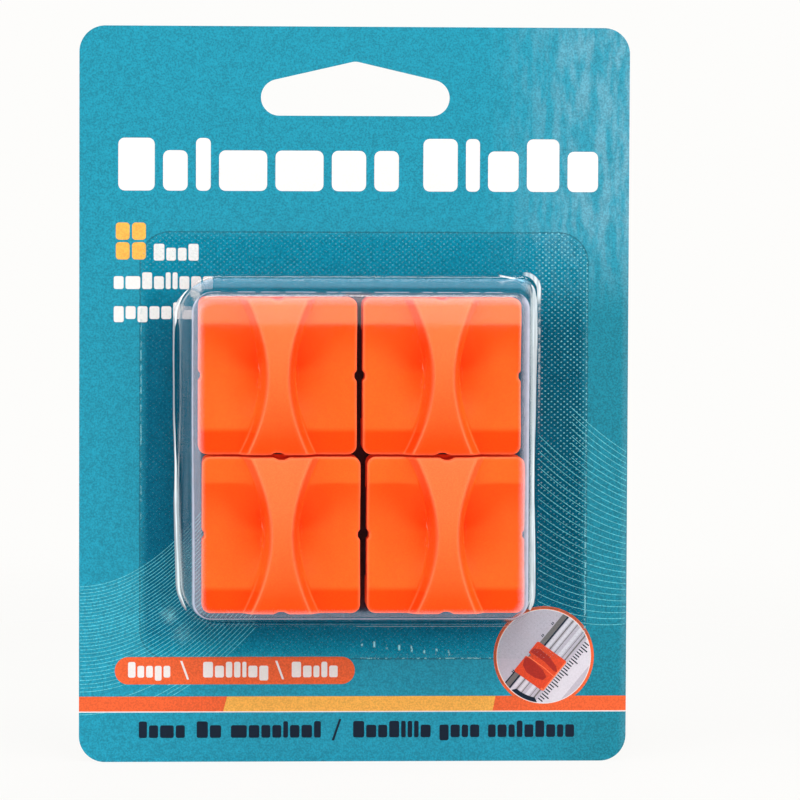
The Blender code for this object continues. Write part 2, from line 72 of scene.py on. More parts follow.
class Graph:
    """A material's node tree, with short calls that make nodes and join them."""

    def __init__(self, name):
        self.material = bpy.data.materials.new(name)
        self.material.use_nodes = True
        self.tree = self.material.node_tree
        self.shader = self.tree.nodes["Principled BSDF"]
        self.output = self.tree.nodes["Material Output"]

    def put(self, socket, value):
        if isinstance(value, bpy.types.NodeSocket):
            self.tree.links.new(value, socket)
        elif isinstance(value, (tuple, list)) and socket.type == "RGBA" and len(value) == 3:
            socket.default_value = (*value, 1.0)
        else:
            socket.default_value = value

    def node(self, kind, inputs=None, **settings):
        made = self.tree.nodes.new("ShaderNode" + kind)
        for key, value in settings.items():
            setattr(made, key, value)
        for key, value in (inputs or {}).items():
            self.put(made.inputs[key], value)
        return made

    def principled(self, **inputs):
        for key, value in inputs.items():
            self.put(self.shader.inputs[key.replace("_", " ")], value)

    def math(self, operation, a, b=0.0, c=0.0, clamp=False):
        made = self.node("Math", {0: a, 1: b, 2: c}, operation=operation, use_clamp=clamp)
        return made.outputs[0]

    def mix(self, share, a, b, blend="MIX"):
        made = self.node("Mix", data_type="RGBA", blend_type=blend)
        self.put(made.inputs[0], share)
        self.put(made.inputs[6], a)
        self.put(made.inputs[7], b)
        return made.outputs[2]

    def ramp(self, value, low, high, to_low=0.0, to_high=1.0):
        made = self.node("MapRange", {0: value, 1: low, 2: high, 3: to_low, 4: to_high})
        made.interpolation_type = "SMOOTHSTEP"
        made.clamp = True
        return made.outputs[0]

    def noise(self, place, scale, detail=2.0, roughness=0.5, stretch=None):
        if stretch is not None:
            place = self.node("VectorMath", {0: place, 1: stretch}, operation="MULTIPLY").outputs[0]
        made = self.node("TexNoise", {"Vector": place, "Scale": scale, "Detail": detail, "Roughness": roughness})
        return made.outputs[0]

    def bump(self, height, distance, strength=1.0, normal=None):
        made = self.node("Bump", {"Height": height, "Distance": distance, "Strength": strength})
        if normal is not None:
            self.put(made.inputs["Normal"], normal)
        return made.outputs[0]

    def attribute(self, name):
        return self.node("Attribute", attribute_name=name).outputs["Fac"]

    def curve(self, value, low, high, points):
        """A smooth curve through (position, height) points over low to high; heights lie between 0 and 1."""
        share = self.node("MapRange", {0: value, 1: low, 2: high}).outputs[0]
        made = self.node("FloatCurve", {"Value": share})
        line = made.mapping.curves[0]
        places = [((at - low) / (high - low), height) for at, height in points]
        line.points[0].location = places[0]
        line.points[1].location = places[-1]
        for at, height in places[1:-1]:
            line.points.new(at, height)
        made.mapping.extend = "HORIZONTAL"
        made.mapping.update()
        return made.outputs[0]

    def product(self, *values):
        total = values[0]
        for value in values[1:]:
            total = self.math("MULTIPLY", total, value)
        return total

    def most(self, *values):
        total = values[0]
        for value in values[1:]:
            total = self.math("MAXIMUM", total, value)
        return total

    def band(self, value, start, end, soft):
        """1 between start and end, falling to 0 over a width of soft on both sides."""
        up = self.ramp(value, start - soft / 2, start + soft / 2)
        down = self.ramp(value, end - soft / 2, end + soft / 2, 1.0, 0.0)
        return self.math("MULTIPLY", up, down)

    def place(self):
        return self.node("TexCoord").outputs["Object"]

    def split(self, vector):
        return self.node("SeparateXYZ", {0: vector}).outputs


# ---------------------------------------------------------------- meshes

def link(obj):
    bpy.context.scene.collection.objects.link(obj)
    return obj


def smooth(mesh, degrees=32.0):
    mesh.shade_smooth()
    mesh.set_sharp_from_angle(angle=math.radians(degrees))


def mesh_object(name, bm, mat, body=None):
    mesh = bpy.data.meshes.new(name)
    bm.to_mesh(mesh)
    bm.free()
    if mat is not None:
        mesh.materials.append(mat)
    obj = link(bpy.data.objects.new(name, mesh))
    if body:
        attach(obj, body)
    return obj


def arc(centre, radius, start, end, steps):
    points = []
    for i in range(steps + 1):
        a = math.radians(start + (end - start) * i / steps)
        points.append((centre[0] + radius * math.cos(a), centre[1] + radius * math.sin(a)))
    return points


def rounded_rectangle(low_x, high_x, low_z, high_z, radius, steps=6):
    radius = min(radius, (high_x - low_x) / 2 - 1e-4, (high_z - low_z) / 2 - 1e-4)
    outline = arc((high_x - radius, high_z - radius), radius, 0, 90, steps)
    outline += arc((low_x + radius, high_z - radius), radius, 90, 180, steps)
    outline += arc((low_x + radius, low_z + radius), radius, 180, 270, steps)
    outline += arc((high_x - radius, low_z + radius), radius, 270, 360, steps)
    return outline


def plate(outlines, back, front):
    """A bmesh of a flat plate between two y values, from outlines in x and z."""
    curve = bpy.data.curves.new("outline", "CURVE")
    curve.dimensions = "2D"
    curve.fill_mode = "BOTH"
    curve.extrude = abs(back - front) / 2 * MM
    for outline in outlines:
        spline = curve.splines.new("POLY")
        spline.points.add(len(outline) - 1)
        for point, (x, z) in zip(spline.points, outline):
            point.co = (x * MM, z * MM, 0.0, 1.0)
        spline.use_cyclic_u = True
    holder = link(bpy.data.objects.new("outline", curve))
    holder.rotation_euler = (math.pi / 2, 0.0, 0.0)
    holder.location.y = (back + front) / 2 * MM
    bpy.context.view_layer.update()
    graph = bpy.context.evaluated_depsgraph_get()
    mesh = bpy.data.meshes.new_from_object(holder.evaluated_get(graph))
    bm = bmesh.new()
    bm.from_mesh(mesh)
    bm.transform(holder.matrix_world)
    bpy.data.objects.remove(holder)
    bpy.data.curves.remove(curve)
    bpy.data.meshes.remove(mesh)
    bmesh.ops.remove_doubles(bm, verts=bm.verts[:], dist=1e-7)
    bmesh.ops.recalc_face_normals(bm, faces=bm.faces[:])
    return bm


# ---------------------------------------------------------------- card

INK = 0.012


def flange_reach(g, x, z):
    """Distance past the flange's corner centres: up to 6 mm under the flange, more outside it."""
    reach = []
    for axis, low, high in ((x, sheet_low.x, sheet_high.x), (z, sheet_low.z, sheet_high.z)):
        away = g.math("ABSOLUTE", g.math("SUBTRACT", axis, (low + high) / 2))
        reach.append(g.math("MAXIMUM", g.math("SUBTRACT", away, (high - low) / 2 - 0.006), 0.0))
    return g.math("SQRT", g.math("ADD", g.math("POWER", reach[0], 2.0), g.math("POWER", reach[1], 2.0)))


def print_film(g, place):
    """Fine mottle of a printed, lacquered board, from 0 to 1."""
    fine = g.noise(place, 2600.0, 2.0, 0.65)
    coarse = g.noise(place, 700.0, 2.0, 0.5)
    return g.math("ADD", g.math("MULTIPLY", fine, 0.8), g.math("MULTIPLY", coarse, 0.2))


def grey(g, value):
    return g.node("CombineColor", {0: value, 1: value, 2: value}).outputs[0]


def print_material(name, colour, mottle=0.05, rough=0.42):
    """One flat ink on lacquered board, with a fine mottle."""
    g = Graph(name)
    film = print_film(g, g.place())
    shade = g.mix(1.0, colour, grey(g, g.ramp(film, 0.35, 0.65, 1.0 - mottle, 1.0 + mottle)), "MULTIPLY")
    g.principled(Base_Color=shade, Roughness=g.ramp(film, 0.3, 0.7, rough - 0.07, rough + 0.09))
    g.principled(Normal=g.bump(film, 0.00003, 0.5))
    g.shader.inputs["Specular IOR Level"].default_value = 0.25
    return g.material


def teal_board():
    """The card's ground: darker where the flange lies on it, partly the film's tint and partly painted shade; a painted
    streaky sheen at the upper right and along the right edge; a painted red-brown shade between the cap columns; a
    painted shadow line at the flange's edge.
    """
    g = Graph("printed_teal")
    place = g.place()
    x, y, z = g.split(place)
    film = print_film(g, place)
    base = g.mix(g.ramp(z, 0.01, 0.14), (0.0078, 0.275, 0.395), (0.0055, 0.246, 0.350))
    right = g.math("MULTIPLY", g.ramp(x, 0.030, 0.052), g.ramp(z, 0.110, 0.090))
    base = g.mix(right, base, (0.0045, 0.205, 0.285))
    # painted sheen: a streaky paler patch at the upper right (corner) and a paler band along the right edge (rim) stand
    # in for the lacquer's reflection
    streaks = g.noise(place, 520.0, 3.0, 0.65, (1.0, 1.0, 0.22))
    corner = g.math("MULTIPLY", g.ramp(x, 0.024, 0.050), g.ramp(z, 0.090, 0.112))
    corner = g.product(corner, g.ramp(streaks, 0.38, 0.62, 0.02, 0.12))
    rim = g.math("MULTIPLY", g.ramp(x, 0.0543, 0.0557), 0.04)
    base = g.mix(g.math("ADD", corner, rim), base, (0.75, 0.86, 0.90))
    # painted shade: under the flange the card darkens, partly the film's own tint and partly painted shade that deepens
    # towards the dome and varies from left to right and top to bottom
    reach = flange_reach(g, x, z)
    film_tint_and_shade = g.mix(g.ramp(x, 0.0, 0.045), (0.50, 0.43, 0.50), (0.60, 0.52, 0.54))
    film_tint_and_shade = g.mix(g.ramp(x, -0.0370, -0.0412), (0.44, 0.40, 0.47), film_tint_and_shade)
    film_tint_and_shade = g.mix(g.ramp(z, 0.027, 0.040), g.mix(g.ramp(z, 0.0215, 0.0275), (0.98, 0.90, 0.94), (0.62, 0.53, 0.61)),
                   film_tint_and_shade)
    film_tint_and_shade = g.mix(g.ramp(z, 0.086, 0.102), film_tint_and_shade, (0.80, 0.82, 0.86))
    under = g.math("MULTIPLY", g.ramp(reach, 0.0057, 0.0061, 1.0, 0.0), g.ramp(reach, 0.0042, 0.0060, 1.0, 0.45))
    base = g.mix(under, base, g.mix(1.0, base, film_tint_and_shade, "MULTIPLY"))
    # painted shade with a red cast from the caps' light, in the narrow gap between the two columns of caps
    between = g.product(g.band(x, -0.0020, 0.0032, 0.0010), g.band(z, 0.031, 0.096, 0.002), 0.9)
    base = g.mix(between, base, (0.085, 0.010, 0.010))
    # painted shadow: a thin dark line along the flange's edge
    outline = g.math("MULTIPLY", g.band(reach, 0.0059, 0.0062, 0.0002), 0.55)
    base = g.mix(outline, base, (0.002, 0.05, 0.08))
    shade = g.mix(1.0, base, grey(g, g.ramp(film, 0.35, 0.65, 0.78, 1.22)), "MULTIPLY")
    g.principled(Base_Color=shade, Roughness=g.ramp(film, 0.3, 0.7, 0.36, 0.52))
    g.principled(Normal=g.bump(film, 0.00003, 0.5), Specular_IOR_Level=g.math("MULTIPLY_ADD", under, -0.23, 0.25))
    return g.material


def board_back():
    g = Graph("grey_board_back")
    place = g.place()
    x, y, z = g.split(place)
    fibre = g.noise(place, 900.0, 4.0, 0.7, (1.0, 1.0, 0.35))
    specks = g.ramp(g.noise(place, 2400.0, 2.0, 0.6), 0.66, 0.74)
    tone = g.mix(g.ramp(fibre, 0.3, 0.7), (0.53, 0.50, 0.45), (0.66, 0.63, 0.58))
    tone = g.mix(g.math("MULTIPLY", specks, 0.35), tone, (0.22, 0.19, 0.16))
    g.principled(Base_Color=tone, Roughness=g.ramp(fibre, 0.3, 0.7, 0.78, 0.92))
    g.principled(Normal=g.bump(fibre, 0.00004, 0.6))
    return g.material


def board_edge():
    g = Graph("paper_edge")
    place = g.place()
    layers = g.noise(place, 900.0, 3.0, 0.6, (0.3, 9.0, 0.3))
    tone = g.mix(g.ramp(layers, 0.3, 0.7), (0.72, 0.72, 0.70), (0.88, 0.88, 0.86))
    g.principled(Base_Color=tone, Roughness=0.85)
    g.principled(Normal=g.bump(layers, 0.00003, 0.5))
    return g.material


def hang_slot():
    """The butterfly slot at the CAD's place: a flat floor, two lobes and a roof to a rounded peak."""
    half, floor, lobe, peak, peak_radius = 19.2, 131.9, 3.7, 142.9, 3.0
    lobe_z, lobe_x, peak_z = floor + lobe, half - lobe, peak - peak_radius
    rise = math.degrees(math.atan2(peak_z - lobe_z, lobe_x)) * 0.92
    outline = arc((lobe_x, lobe_z), lobe, -90, 90 - rise, 24)
    outline += arc((0.0, peak_z), peak_radius, 90 - rise, 90 + rise, 14)
    outline += arc((-lobe_x, lobe_z), lobe, 90 + rise, 270, 24)
    return outline


def make_card():
    outer = rounded_rectangle(-CARD_X, CARD_X, 0.0, CARD_Z, 5.3, 24)
    bm = plate([outer, hang_slot()], -FACE, FACE)
    card = mesh_object("printed_card", bm, teal_board(), "pack")
    card.data.materials.append(board_edge())
    card.data.materials.append(board_back())
    for face in card.data.polygons:
        face.material_index = 0 if face.normal.y < -0.5 else 2 if face.normal.y > 0.5 else 1
    smooth(card.data)
    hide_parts("hang_card")
    return card


# ---------------------------------------------------------------- print

def word(left, right, base, caps, small, plan, gap):
    """Blocks that stand for the letters of a word, which is left out: plan gives (width, kind) of each.

    Kind 0 is a small block, 1 reaches the full height, 2 hangs below the line.
    """
    total = sum(w for w, _ in plan)
    room = right - left - gap * (len(plan) - 1)
    blocks = []
    x = left
    for width, kind in plan:
        w = width / total * room
        top = base + (caps if kind == 1 else small)
        low = base - (caps - small) * 0.8 if kind == 2 else base
        blocks.append(rounded_rectangle(x, x + w, low, top, min(w * 0.35, caps * 0.12), 5))
        x += w + gap
    return blocks


def slash(x, low, high, lean, width):
    return [(x, low), (x + width, low), (x + width + lean, high), (x + lean, high)]


def print_layer(name, outlines, mat, layer=1):
    bm = plate(outlines, FACE - INK * (layer - 1), FACE - INK * layer)
    obj = mesh_object(name, bm, mat, "pack")
    return obj


def strips(name, lines, width, mat, layer=1):
    """Thin printed lines as closed strips along lists of (x, z) points."""
    bm = bmesh.new()
    back, front = FACE - INK * (layer - 1), FACE - INK * layer
    for line in lines:
        path = np.array(line)
        run = np.gradient(path, axis=0)
        run /= np.linalg.norm(run, axis=1)[:, None]
        side = np.stack([-run[:, 1], run[:, 0]], axis=1) * width / 2
        rows = []
        for (x, z), (dx, dz) in zip(path, side):
            corners = [(x + dx, back, z + dz), (x + dx, front, z + dz), (x - dx, front, z - dz), (x - dx, back, z - dz)]
            rows.append([bm.verts.new(Vector(c) * MM) for c in corners])
        for a, b in zip(rows, rows[1:]):
            for i in range(4):
                j = (i + 1) % 4
                bm.faces.new((a[i], a[j], b[j], b[i]))
        bm.faces.new(rows[0][::-1])
        bm.faces.new(rows[-1])
    bmesh.ops.recalc_face_normals(bm, faces=bm.faces[:])
    obj = mesh_object(name, bm, mat, "pack")
    return obj


def wave_lines():
    """Two families of fine curved lines, at the lower left and on the right."""
    lines = []
    starts = [35.9 - 0.68 * i for i in range(19)] + [22.95 - 0.78 * i for i in range(20)]
    for count, start in enumerate(starts):
        curl = 0.0150 + 0.0097 * (start - 8.0) / 28.0
        first = -55.8 if start > 14.0 or count % 3 == 0 else -38.0
        line = [(x, start + curl * (x + 56.0) ** 2) for x in np.linspace(first, -20.0, 60)]
        lines.append([p for p in line if p[1] < 62.0])
    for i in range(31):
        share = i / 30
        end = 63.5 - 35.3 * share
        lean = 0.62 - 0.74 * share
        first = 44.5 if share < 0.25 else 37.8
        line = [(x, end + lean * (55.8 - x) + 0.016 * (55.8 - x) ** 2) for x in np.linspace(first, 55.8, 30)]
        lines.append(line)
    return lines


def make_print():
    teal_light = print_material("ink_wave", (0.13, 0.54, 0.60), 0.28)
    white = print_material("ink_white", (0.80, 0.755, 0.735), 0.03)
    orange = print_material("ink_orange", (0.80, 0.112, 0.026), 0.12)
    amber = print_material("ink_amber", (0.86, 0.41, 0.068), 0.12)
    navy = print_material("ink_navy", (0.006, 0.016, 0.035))

    strips("print_wave_lines", wave_lines(), 0.105, teal_light)

    title = word(-48.1, 8.9, 116.6, 10.7, 8.2,
                 [(7.4, 1), (5.0, 0), (3.0, 1), (9.8, 0), (9.8, 0), (7.0, 0), (5.0, 0)], 1.7)
    title += word(13.9, 49.6, 116.6, 10.7, 8.2, [(7.4, 1), (3.0, 1), (6.6, 0), (7.0, 1), (6.6, 0)], 1.7)
    title += word(-40.9, -31.8, 102.4, 3.4, 2.6, [(2.1, 1), (1.9, 0), (1.7, 0), (2.0, 1)], 0.4)
    title += word(-49.0, -28.9, 96.6, 3.4, 2.6,
                  [(2, 0), (3, 0), (2, 1), (2, 0), (1, 1), (1, 1), (2, 0), (2, 2), (2, 0)], 0.4)
    title += word(-49.0, -33.1, 90.5, 3.4, 2.6,
                  [(2, 2), (2, 0), (2, 2), (2, 0), (2, 0), (1.4, 1), (2, 0)], 0.4)
    print_layer("print_title_blocks", title, white)

    amber_blocks = []
    for column in (0, 1):
        for row in (0, 1):
            x = -48.6 + 3.3 * column
            z = 102.6 + 4.0 * row
            amber_blocks.append(rounded_rectangle(x, x + 2.8, z, z + 3.5, 0.7, 5))
    print_layer("print_count_blocks", amber_blocks, amber)

    pill = rounded_rectangle(-48.7, 0.3, 15.9, 21.5, 2.75, 14)
    print_layer("print_pill", [pill], orange, 2)
    inside = word(-46.0, -37.4, 17.3, 3.2, 2.4, [(2.2, 1), (2, 0), (2, 0), (2, 2), (2, 0)], 0.4)
    inside += word(-30.7, -17.4, 17.3, 3.2, 2.4,
                   [(2.2, 1), (2, 0), (1.4, 1), (1.4, 1), (0.9, 1), (2, 0), (2, 2)], 0.4)
    inside += word(-12.6, -3.2, 17.3, 3.2, 2.4, [(2.2, 1), (2, 0), (1.4, 0), (1.4, 1), (2, 0)], 0.4)
    inside.append(slash(-34.0, 16.9, 20.7, -1.4, 0.45))
    inside.append(slash(-14.6, 16.9, 20.7, -1.4, 0.45))
    print_layer("print_pill_blocks", inside, white, 3)

    low, high = 10.35, 13.4
    left = [(-CARD_X, low), (-26.6, low), (-25.8, high), (-CARD_X, high)]
    middle = [(-26.6, low), (28.6, low), (29.2, high), (-25.8, high)]
    right = [(28.6, low), (CARD_X, low), (CARD_X, high), (29.2, high)]
    print_layer("print_stripe_orange", [left, right], orange, 2)
    print_layer("print_stripe_amber", [middle], amber, 2)
    thin = [(-CARD_X, low - 0.22), (CARD_X, low - 0.22), (CARD_X, low), (-CARD_X, low)]
    print_layer("print_stripe_line", [thin], white, 2)

    footer = word(-43.8, -34.4, 4.9, 3.4, 2.6, [(1.8, 1), (2, 0), (3, 0), (2, 0)], 0.4)
    footer += word(-32.0, -27.0, 4.9, 3.4, 2.6, [(2, 1), (2, 0)], 0.4)
    footer += word(-25.0, -6.6, 4.9, 3.4, 2.6,
                   [(3, 0), (2, 0), (1.7, 0), (1.7, 0), (0.9, 1), (1.8, 0), (2, 0), (1.3, 1)], 0.4)
    footer.append(slash(-4.4, 4.3, 8.7, 1.5, 0.5))
    footer += word(0.0, 15.9, 4.9, 3.4, 2.6,
                   [(2.2, 1), (2, 0), (1.8, 0), (2, 1), (0.9, 1), (0.9, 1), (0.9, 1), (2, 0)], 0.4)
    footer += word(17.7, 25.9, 4.9, 3.4, 2.6, [(2, 2), (2, 0), (1.4, 0), (2, 0)], 0.4)
    footer += word(27.7, 45.4, 4.9, 3.4, 2.6,
                   [(1.7, 0), (2, 0), (1.4, 0), (1.3, 1), (2, 0), (2, 1), (2, 0), (1.4, 0), (2, 0)], 0.4)
    print_layer("print_footer_blocks", footer, navy)
    make_inset(orange, white, navy)


def make_inset(orange, white, navy):
    """A small round picture of a cartridge on a ruled rail, drawn in flat inks."""
    centre_x, centre_z, outer, inner = 39.06, 21.5, 10.3, 9.55
    turn = math.radians(50.5)
    lilac = print_material("ink_lilac", (0.50, 0.45, 0.52))
    pale = print_material("ink_pale_lilac", (0.66, 0.62, 0.68))
    grey = print_material("ink_grey", (0.17, 0.15, 0.15))
    red = print_material("ink_red", (0.72, 0.058, 0.014), 0.12)
    deep = print_material("ink_deep_red", (0.40, 0.020, 0.010), 0.12)
    lit = print_material("ink_light_red", (0.95, 0.19, 0.07), 0.10)
    brown = print_material("ink_brown", (0.40, 0.085, 0.030), 0.10)

    def put(points):
        return [(centre_x + u * math.cos(turn) + v * math.sin(turn),
                 centre_z + u * math.sin(turn) - v * math.cos(turn)) for u, v in points]

    def band(low, high, start=-99.0, end=99.0):
        """A band along the rail between two offsets, cut off by the round frame."""
        points = []
        for v in np.linspace(low, high, 9):
            points.append((min(end, math.sqrt(max(0.0, inner ** 2 - v * v))), v))
        for v in np.linspace(high, low, 9):
            points.append((max(start, -math.sqrt(max(0.0, inner ** 2 - v * v))), v))
        return put(points)

    ring = arc((centre_x, centre_z), outer, 0, 360, 72)[:-1]
    print_layer("print_inset_ring", [ring], orange, 3)
    shade = arc((centre_x, centre_z), outer - 0.12, 20, 215, 60) + arc((centre_x, centre_z), outer - 0.42, 215, 20, 60)
    print_layer("print_inset_ring_shade", [shade], brown, 4)
    ground = arc((centre_x, centre_z), inner, 0, 360, 72)[:-1]
    rim = arc((centre_x, centre_z), inner + 0.16, 0, 360, 72)[:-1]
    print_layer("print_inset_rim", [rim], white, 4)
    print_layer("print_inset_ground", [ground], lilac, 5)
    print_layer("print_inset_pale", [band(-1.0, -0.35), band(0.35, 0.95), band(2.0, 2.7), band(4.6, 8.4)], pale, 6)
    print_layer("print_inset_grey", [band(-2.5, -1.5), band(-0.12, 0.12), band(1.15, 1.3), band(3.0, 3.12),
                                     band(3.7, 4.0)], grey, 6)
    dark = [band(-1.5, -1.15), band(-2.75, -2.5, -99.0, -4.2)]
    for i in range(-13, 14):
        u = i * 0.62
        if abs(u) < 7.6:
            long = 1.75 if i % 5 == 0 else 1.15
            dark.append(put([(u, 4.6), (u + 0.26, 4.6), (u + 0.26, 4.6 + long), (u, 4.6 + long)]))
    for u in (2.9, 3.25, 6.1, 6.45, -6.6, -6.25):
        dark.append(put([(u, -3.15), (u + 0.2, -3.15), (u + 0.2, -2.7), (u, -2.7)]))
    dark.append(arc((centre_x, centre_z), inner, 226, 262, 16) + arc((centre_x, centre_z), inner - 0.9, 258, 230, 14))
    print_layer("print_inset_marks", dark, navy, 7)

    def skew(a, b):
        """A point of the little cartridge, from its corner along its two sides, 0 to 1."""
        corner = Vector((-6.16, -2.93))
        along = Vector((4.92, 6.10))
        across = Vector((6.02, -4.28))
        p = corner + along * a + across * b
        return (centre_x + p.x, centre_z + p.y)

    def patch(*corners):
        return [skew(a, b) for a, b in corners]

    body = patch((0, 0.04), (0.03, 0), (0.50, 0.0), (0.52, 0.10), (0.60, 0.10), (0.62, 0.0), (0.97, 0), (1, 0.04),
                 (1, 0.96), (0.97, 1), (0.03, 1), (0, 0.96))
    print_layer("print_inset_cartridge", [body], red, 8)
    scoops = [patch((0.16, 0.30), (0.26, 0.10), (0.42, 0.02), (0.50, 0.06), (0.51, 0.30), (0.46, 0.62), (0.36, 0.82),
                    (0.24, 0.80), (0.17, 0.58)),
              patch((0.66, 0.02), (0.78, 0.04), (0.86, 0.20), (0.84, 0.52), (0.74, 0.84), (0.63, 0.97), (0.60, 0.90),
                    (0.66, 0.50))]
    print_layer("print_inset_scoops", scoops, deep, 9)
    edges = [patch((0.50, 0.0), (0.535, 0.10), (0.535, 0.62), (0.50, 0.95), (0.48, 0.95), (0.512, 0.62), (0.512, 0.12)),
             patch((0.0, 0.90), (0.03, 0.90), (0.03, 1.0), (0.97, 1.0), (0.97, 0.965), (0.06, 0.965), (0.06, 0.90))]
    print_layer("print_inset_edges", edges, lit, 10)


# ---------------------------------------------------------------- blister

def smoothstep(t):
    t = min(1.0, max(0.0, t))
    return t * t * (3 - 2 * t)


def ring_points(width, height, radii, centre, per_side=34, per_corner=12):
    """A rectangle with a radius for each corner and points along its sides; every ring has the same count."""
    points = []
    ends = []
    for radius, side_x, side_z, start in zip(radii, (1, -1, -1, 1), (1, 1, -1, -1), (0, 90, 180, 270)):
        ends.append((side_x * (width / 2 - radius), side_z * (height / 2 - radius), radius, start))
    for i, (cx, cz, radius, start) in enumerate(ends):
        corner = arc((cx, cz), radius, start, start + 90, per_corner)
        points += corner
        nx, nz, nradius, nstart = ends[(i + 1) % 4]
        begin = corner[-1]
        a = math.radians(nstart)
        finish = (nx + nradius * math.cos(a), nz + nradius * math.sin(a))
        for k in range(1, per_side):
            t = k / per_side
            points.append((begin[0] + (finish[0] - begin[0]) * t, begin[1] + (finish[1] - begin[1]) * t))
    return [(centre[0] + x, centre[1] + z) for x, z in points]


def seal_marks_and_glints(g, place, x, z, flange):
    """Share of pale marks on the flange: the heat seal's staggered dots, made to show by a painted glint, painted glint
    ticks and edge dashes, and a scuff.
    """
    across = g.math("COSINE", g.math("MULTIPLY", x, 2 * math.pi / 0.00130))
    along = g.math("COSINE", g.math("MULTIPLY", z, 2 * math.pi / 0.00107))
    jitter = g.noise(place, 650.0, 2.0, 0.6)
    dots = g.product(across, along, g.math("MULTIPLY_ADD", jitter, 0.5, 0.72))
    dots = g.ramp(dots, 0.42, 0.80)
    patchy = g.ramp(g.noise(place, 120.0, 3.0, 0.6), 0.32, 0.60, 0.35, 1.0)
    # painted glint: the dots show strongly on the right, fainter at the top and weakly elsewhere
    right = g.math("MULTIPLY", g.ramp(x, 0.034, 0.039), g.ramp(z, 0.026, 0.075, 0.18, 1.0))
    top = g.ramp(z, 0.099, 0.101, 0.0, 0.34)
    zone = g.product(g.most(right, top, 0.12), patchy)
    dots = g.product(dots, zone, 0.52)

    # painted glints: a slanted row of ticks over the flange's lower part, dashes along its bottom edge (rim) and broken
    # lines along its right (side) and left (west) edges
    comb = g.ramp(g.math("COSINE", g.math("MULTIPLY_ADD", x, 2 * math.pi / 0.00255, -4.2)), 0.78, 0.97)
    slant = g.math("MULTIPLY_ADD", x, 0.12, z)
    ticks = g.product(comb, g.band(slant, 0.0240, 0.0252, 0.0005), g.band(x, 0.0010, 0.0216, 0.0003))
    ticks = g.product(ticks, g.ramp(g.noise(place, 900.0, 2.0, 0.6), 0.42, 0.56), 0.85)
    rim = g.product(g.ramp(z, 0.0212, 0.0215, 1.0, 0.0), g.band(x, 0.0005, 0.0290, 0.0003))
    rim = g.product(rim, g.ramp(g.noise(place, 1100.0, 2.0, 0.7), 0.50, 0.58), 0.60)
    broken = g.ramp(g.noise(place, 800.0, 2.0, 0.6), 0.44, 0.56)
    side = g.product(g.ramp(x, 0.0471, 0.0473), g.ramp(z, 0.060, 0.040, 0.10, 0.40), broken)
    west = g.product(g.ramp(x, -0.0432, -0.0434), g.band(z, 0.050, 0.092, 0.010), broken, 0.32)

    scuff = 0.0
    for at_x, at_z, reach, strength in ((-0.0377, 0.0300, 0.0026, 0.26), (-0.0350, 0.0262, 0.0034, 0.13)):
        away = g.node("CombineXYZ", {0: g.math("SUBTRACT", x, at_x), 1: g.math("SUBTRACT", z, at_z)}).outputs[0]
        away = g.node("VectorMath", {0: away}, operation="LENGTH").outputs["Value"]
        scuff = g.math("ADD", scuff, g.ramp(away, 0.0, reach, strength, 0.0))
    scuff = g.product(scuff, g.ramp(g.noise(place, 800.0, 3.0, 0.7), 0.3, 0.7, 0.3, 1.5))
    return g.product(g.most(dots, ticks, rim, side, west, scuff), flange)


def clear_inside():
    """The sheet's inner surface: plain clear film with a faint ripple."""
    g = Graph("clear_sheet_inside")
    place = g.place()
    ripple = g.noise(place, 45.0, 2.0, 0.5)
    facing = g.node("LayerWeight", {"Blend": 0.5}).outputs["Facing"]
    share = g.math("MULTIPLY_ADD", g.math("POWER", facing, 5.0), 0.80, 0.045)
    share = g.math("MULTIPLY", share, g.ramp(g.attribute("across"), 0.4, 1.2))
    g.principled(Base_Color=(1.0, 1.0, 1.0), Metallic=1.0, Roughness=g.ramp(ripple, 0.3, 0.7, 0.015, 0.03))
    g.principled(Normal=g.bump(ripple, 0.0001, 0.02))
    clear = g.node("BsdfTransparent", {"Color": (0.98, 0.99, 0.99)})
    mirror = g.node("MixShader", {0: share, 1: clear.outputs[0], 2: g.shader.outputs[0]})
    g.put(g.output.inputs["Surface"], mirror.outputs[0])
    return g.material


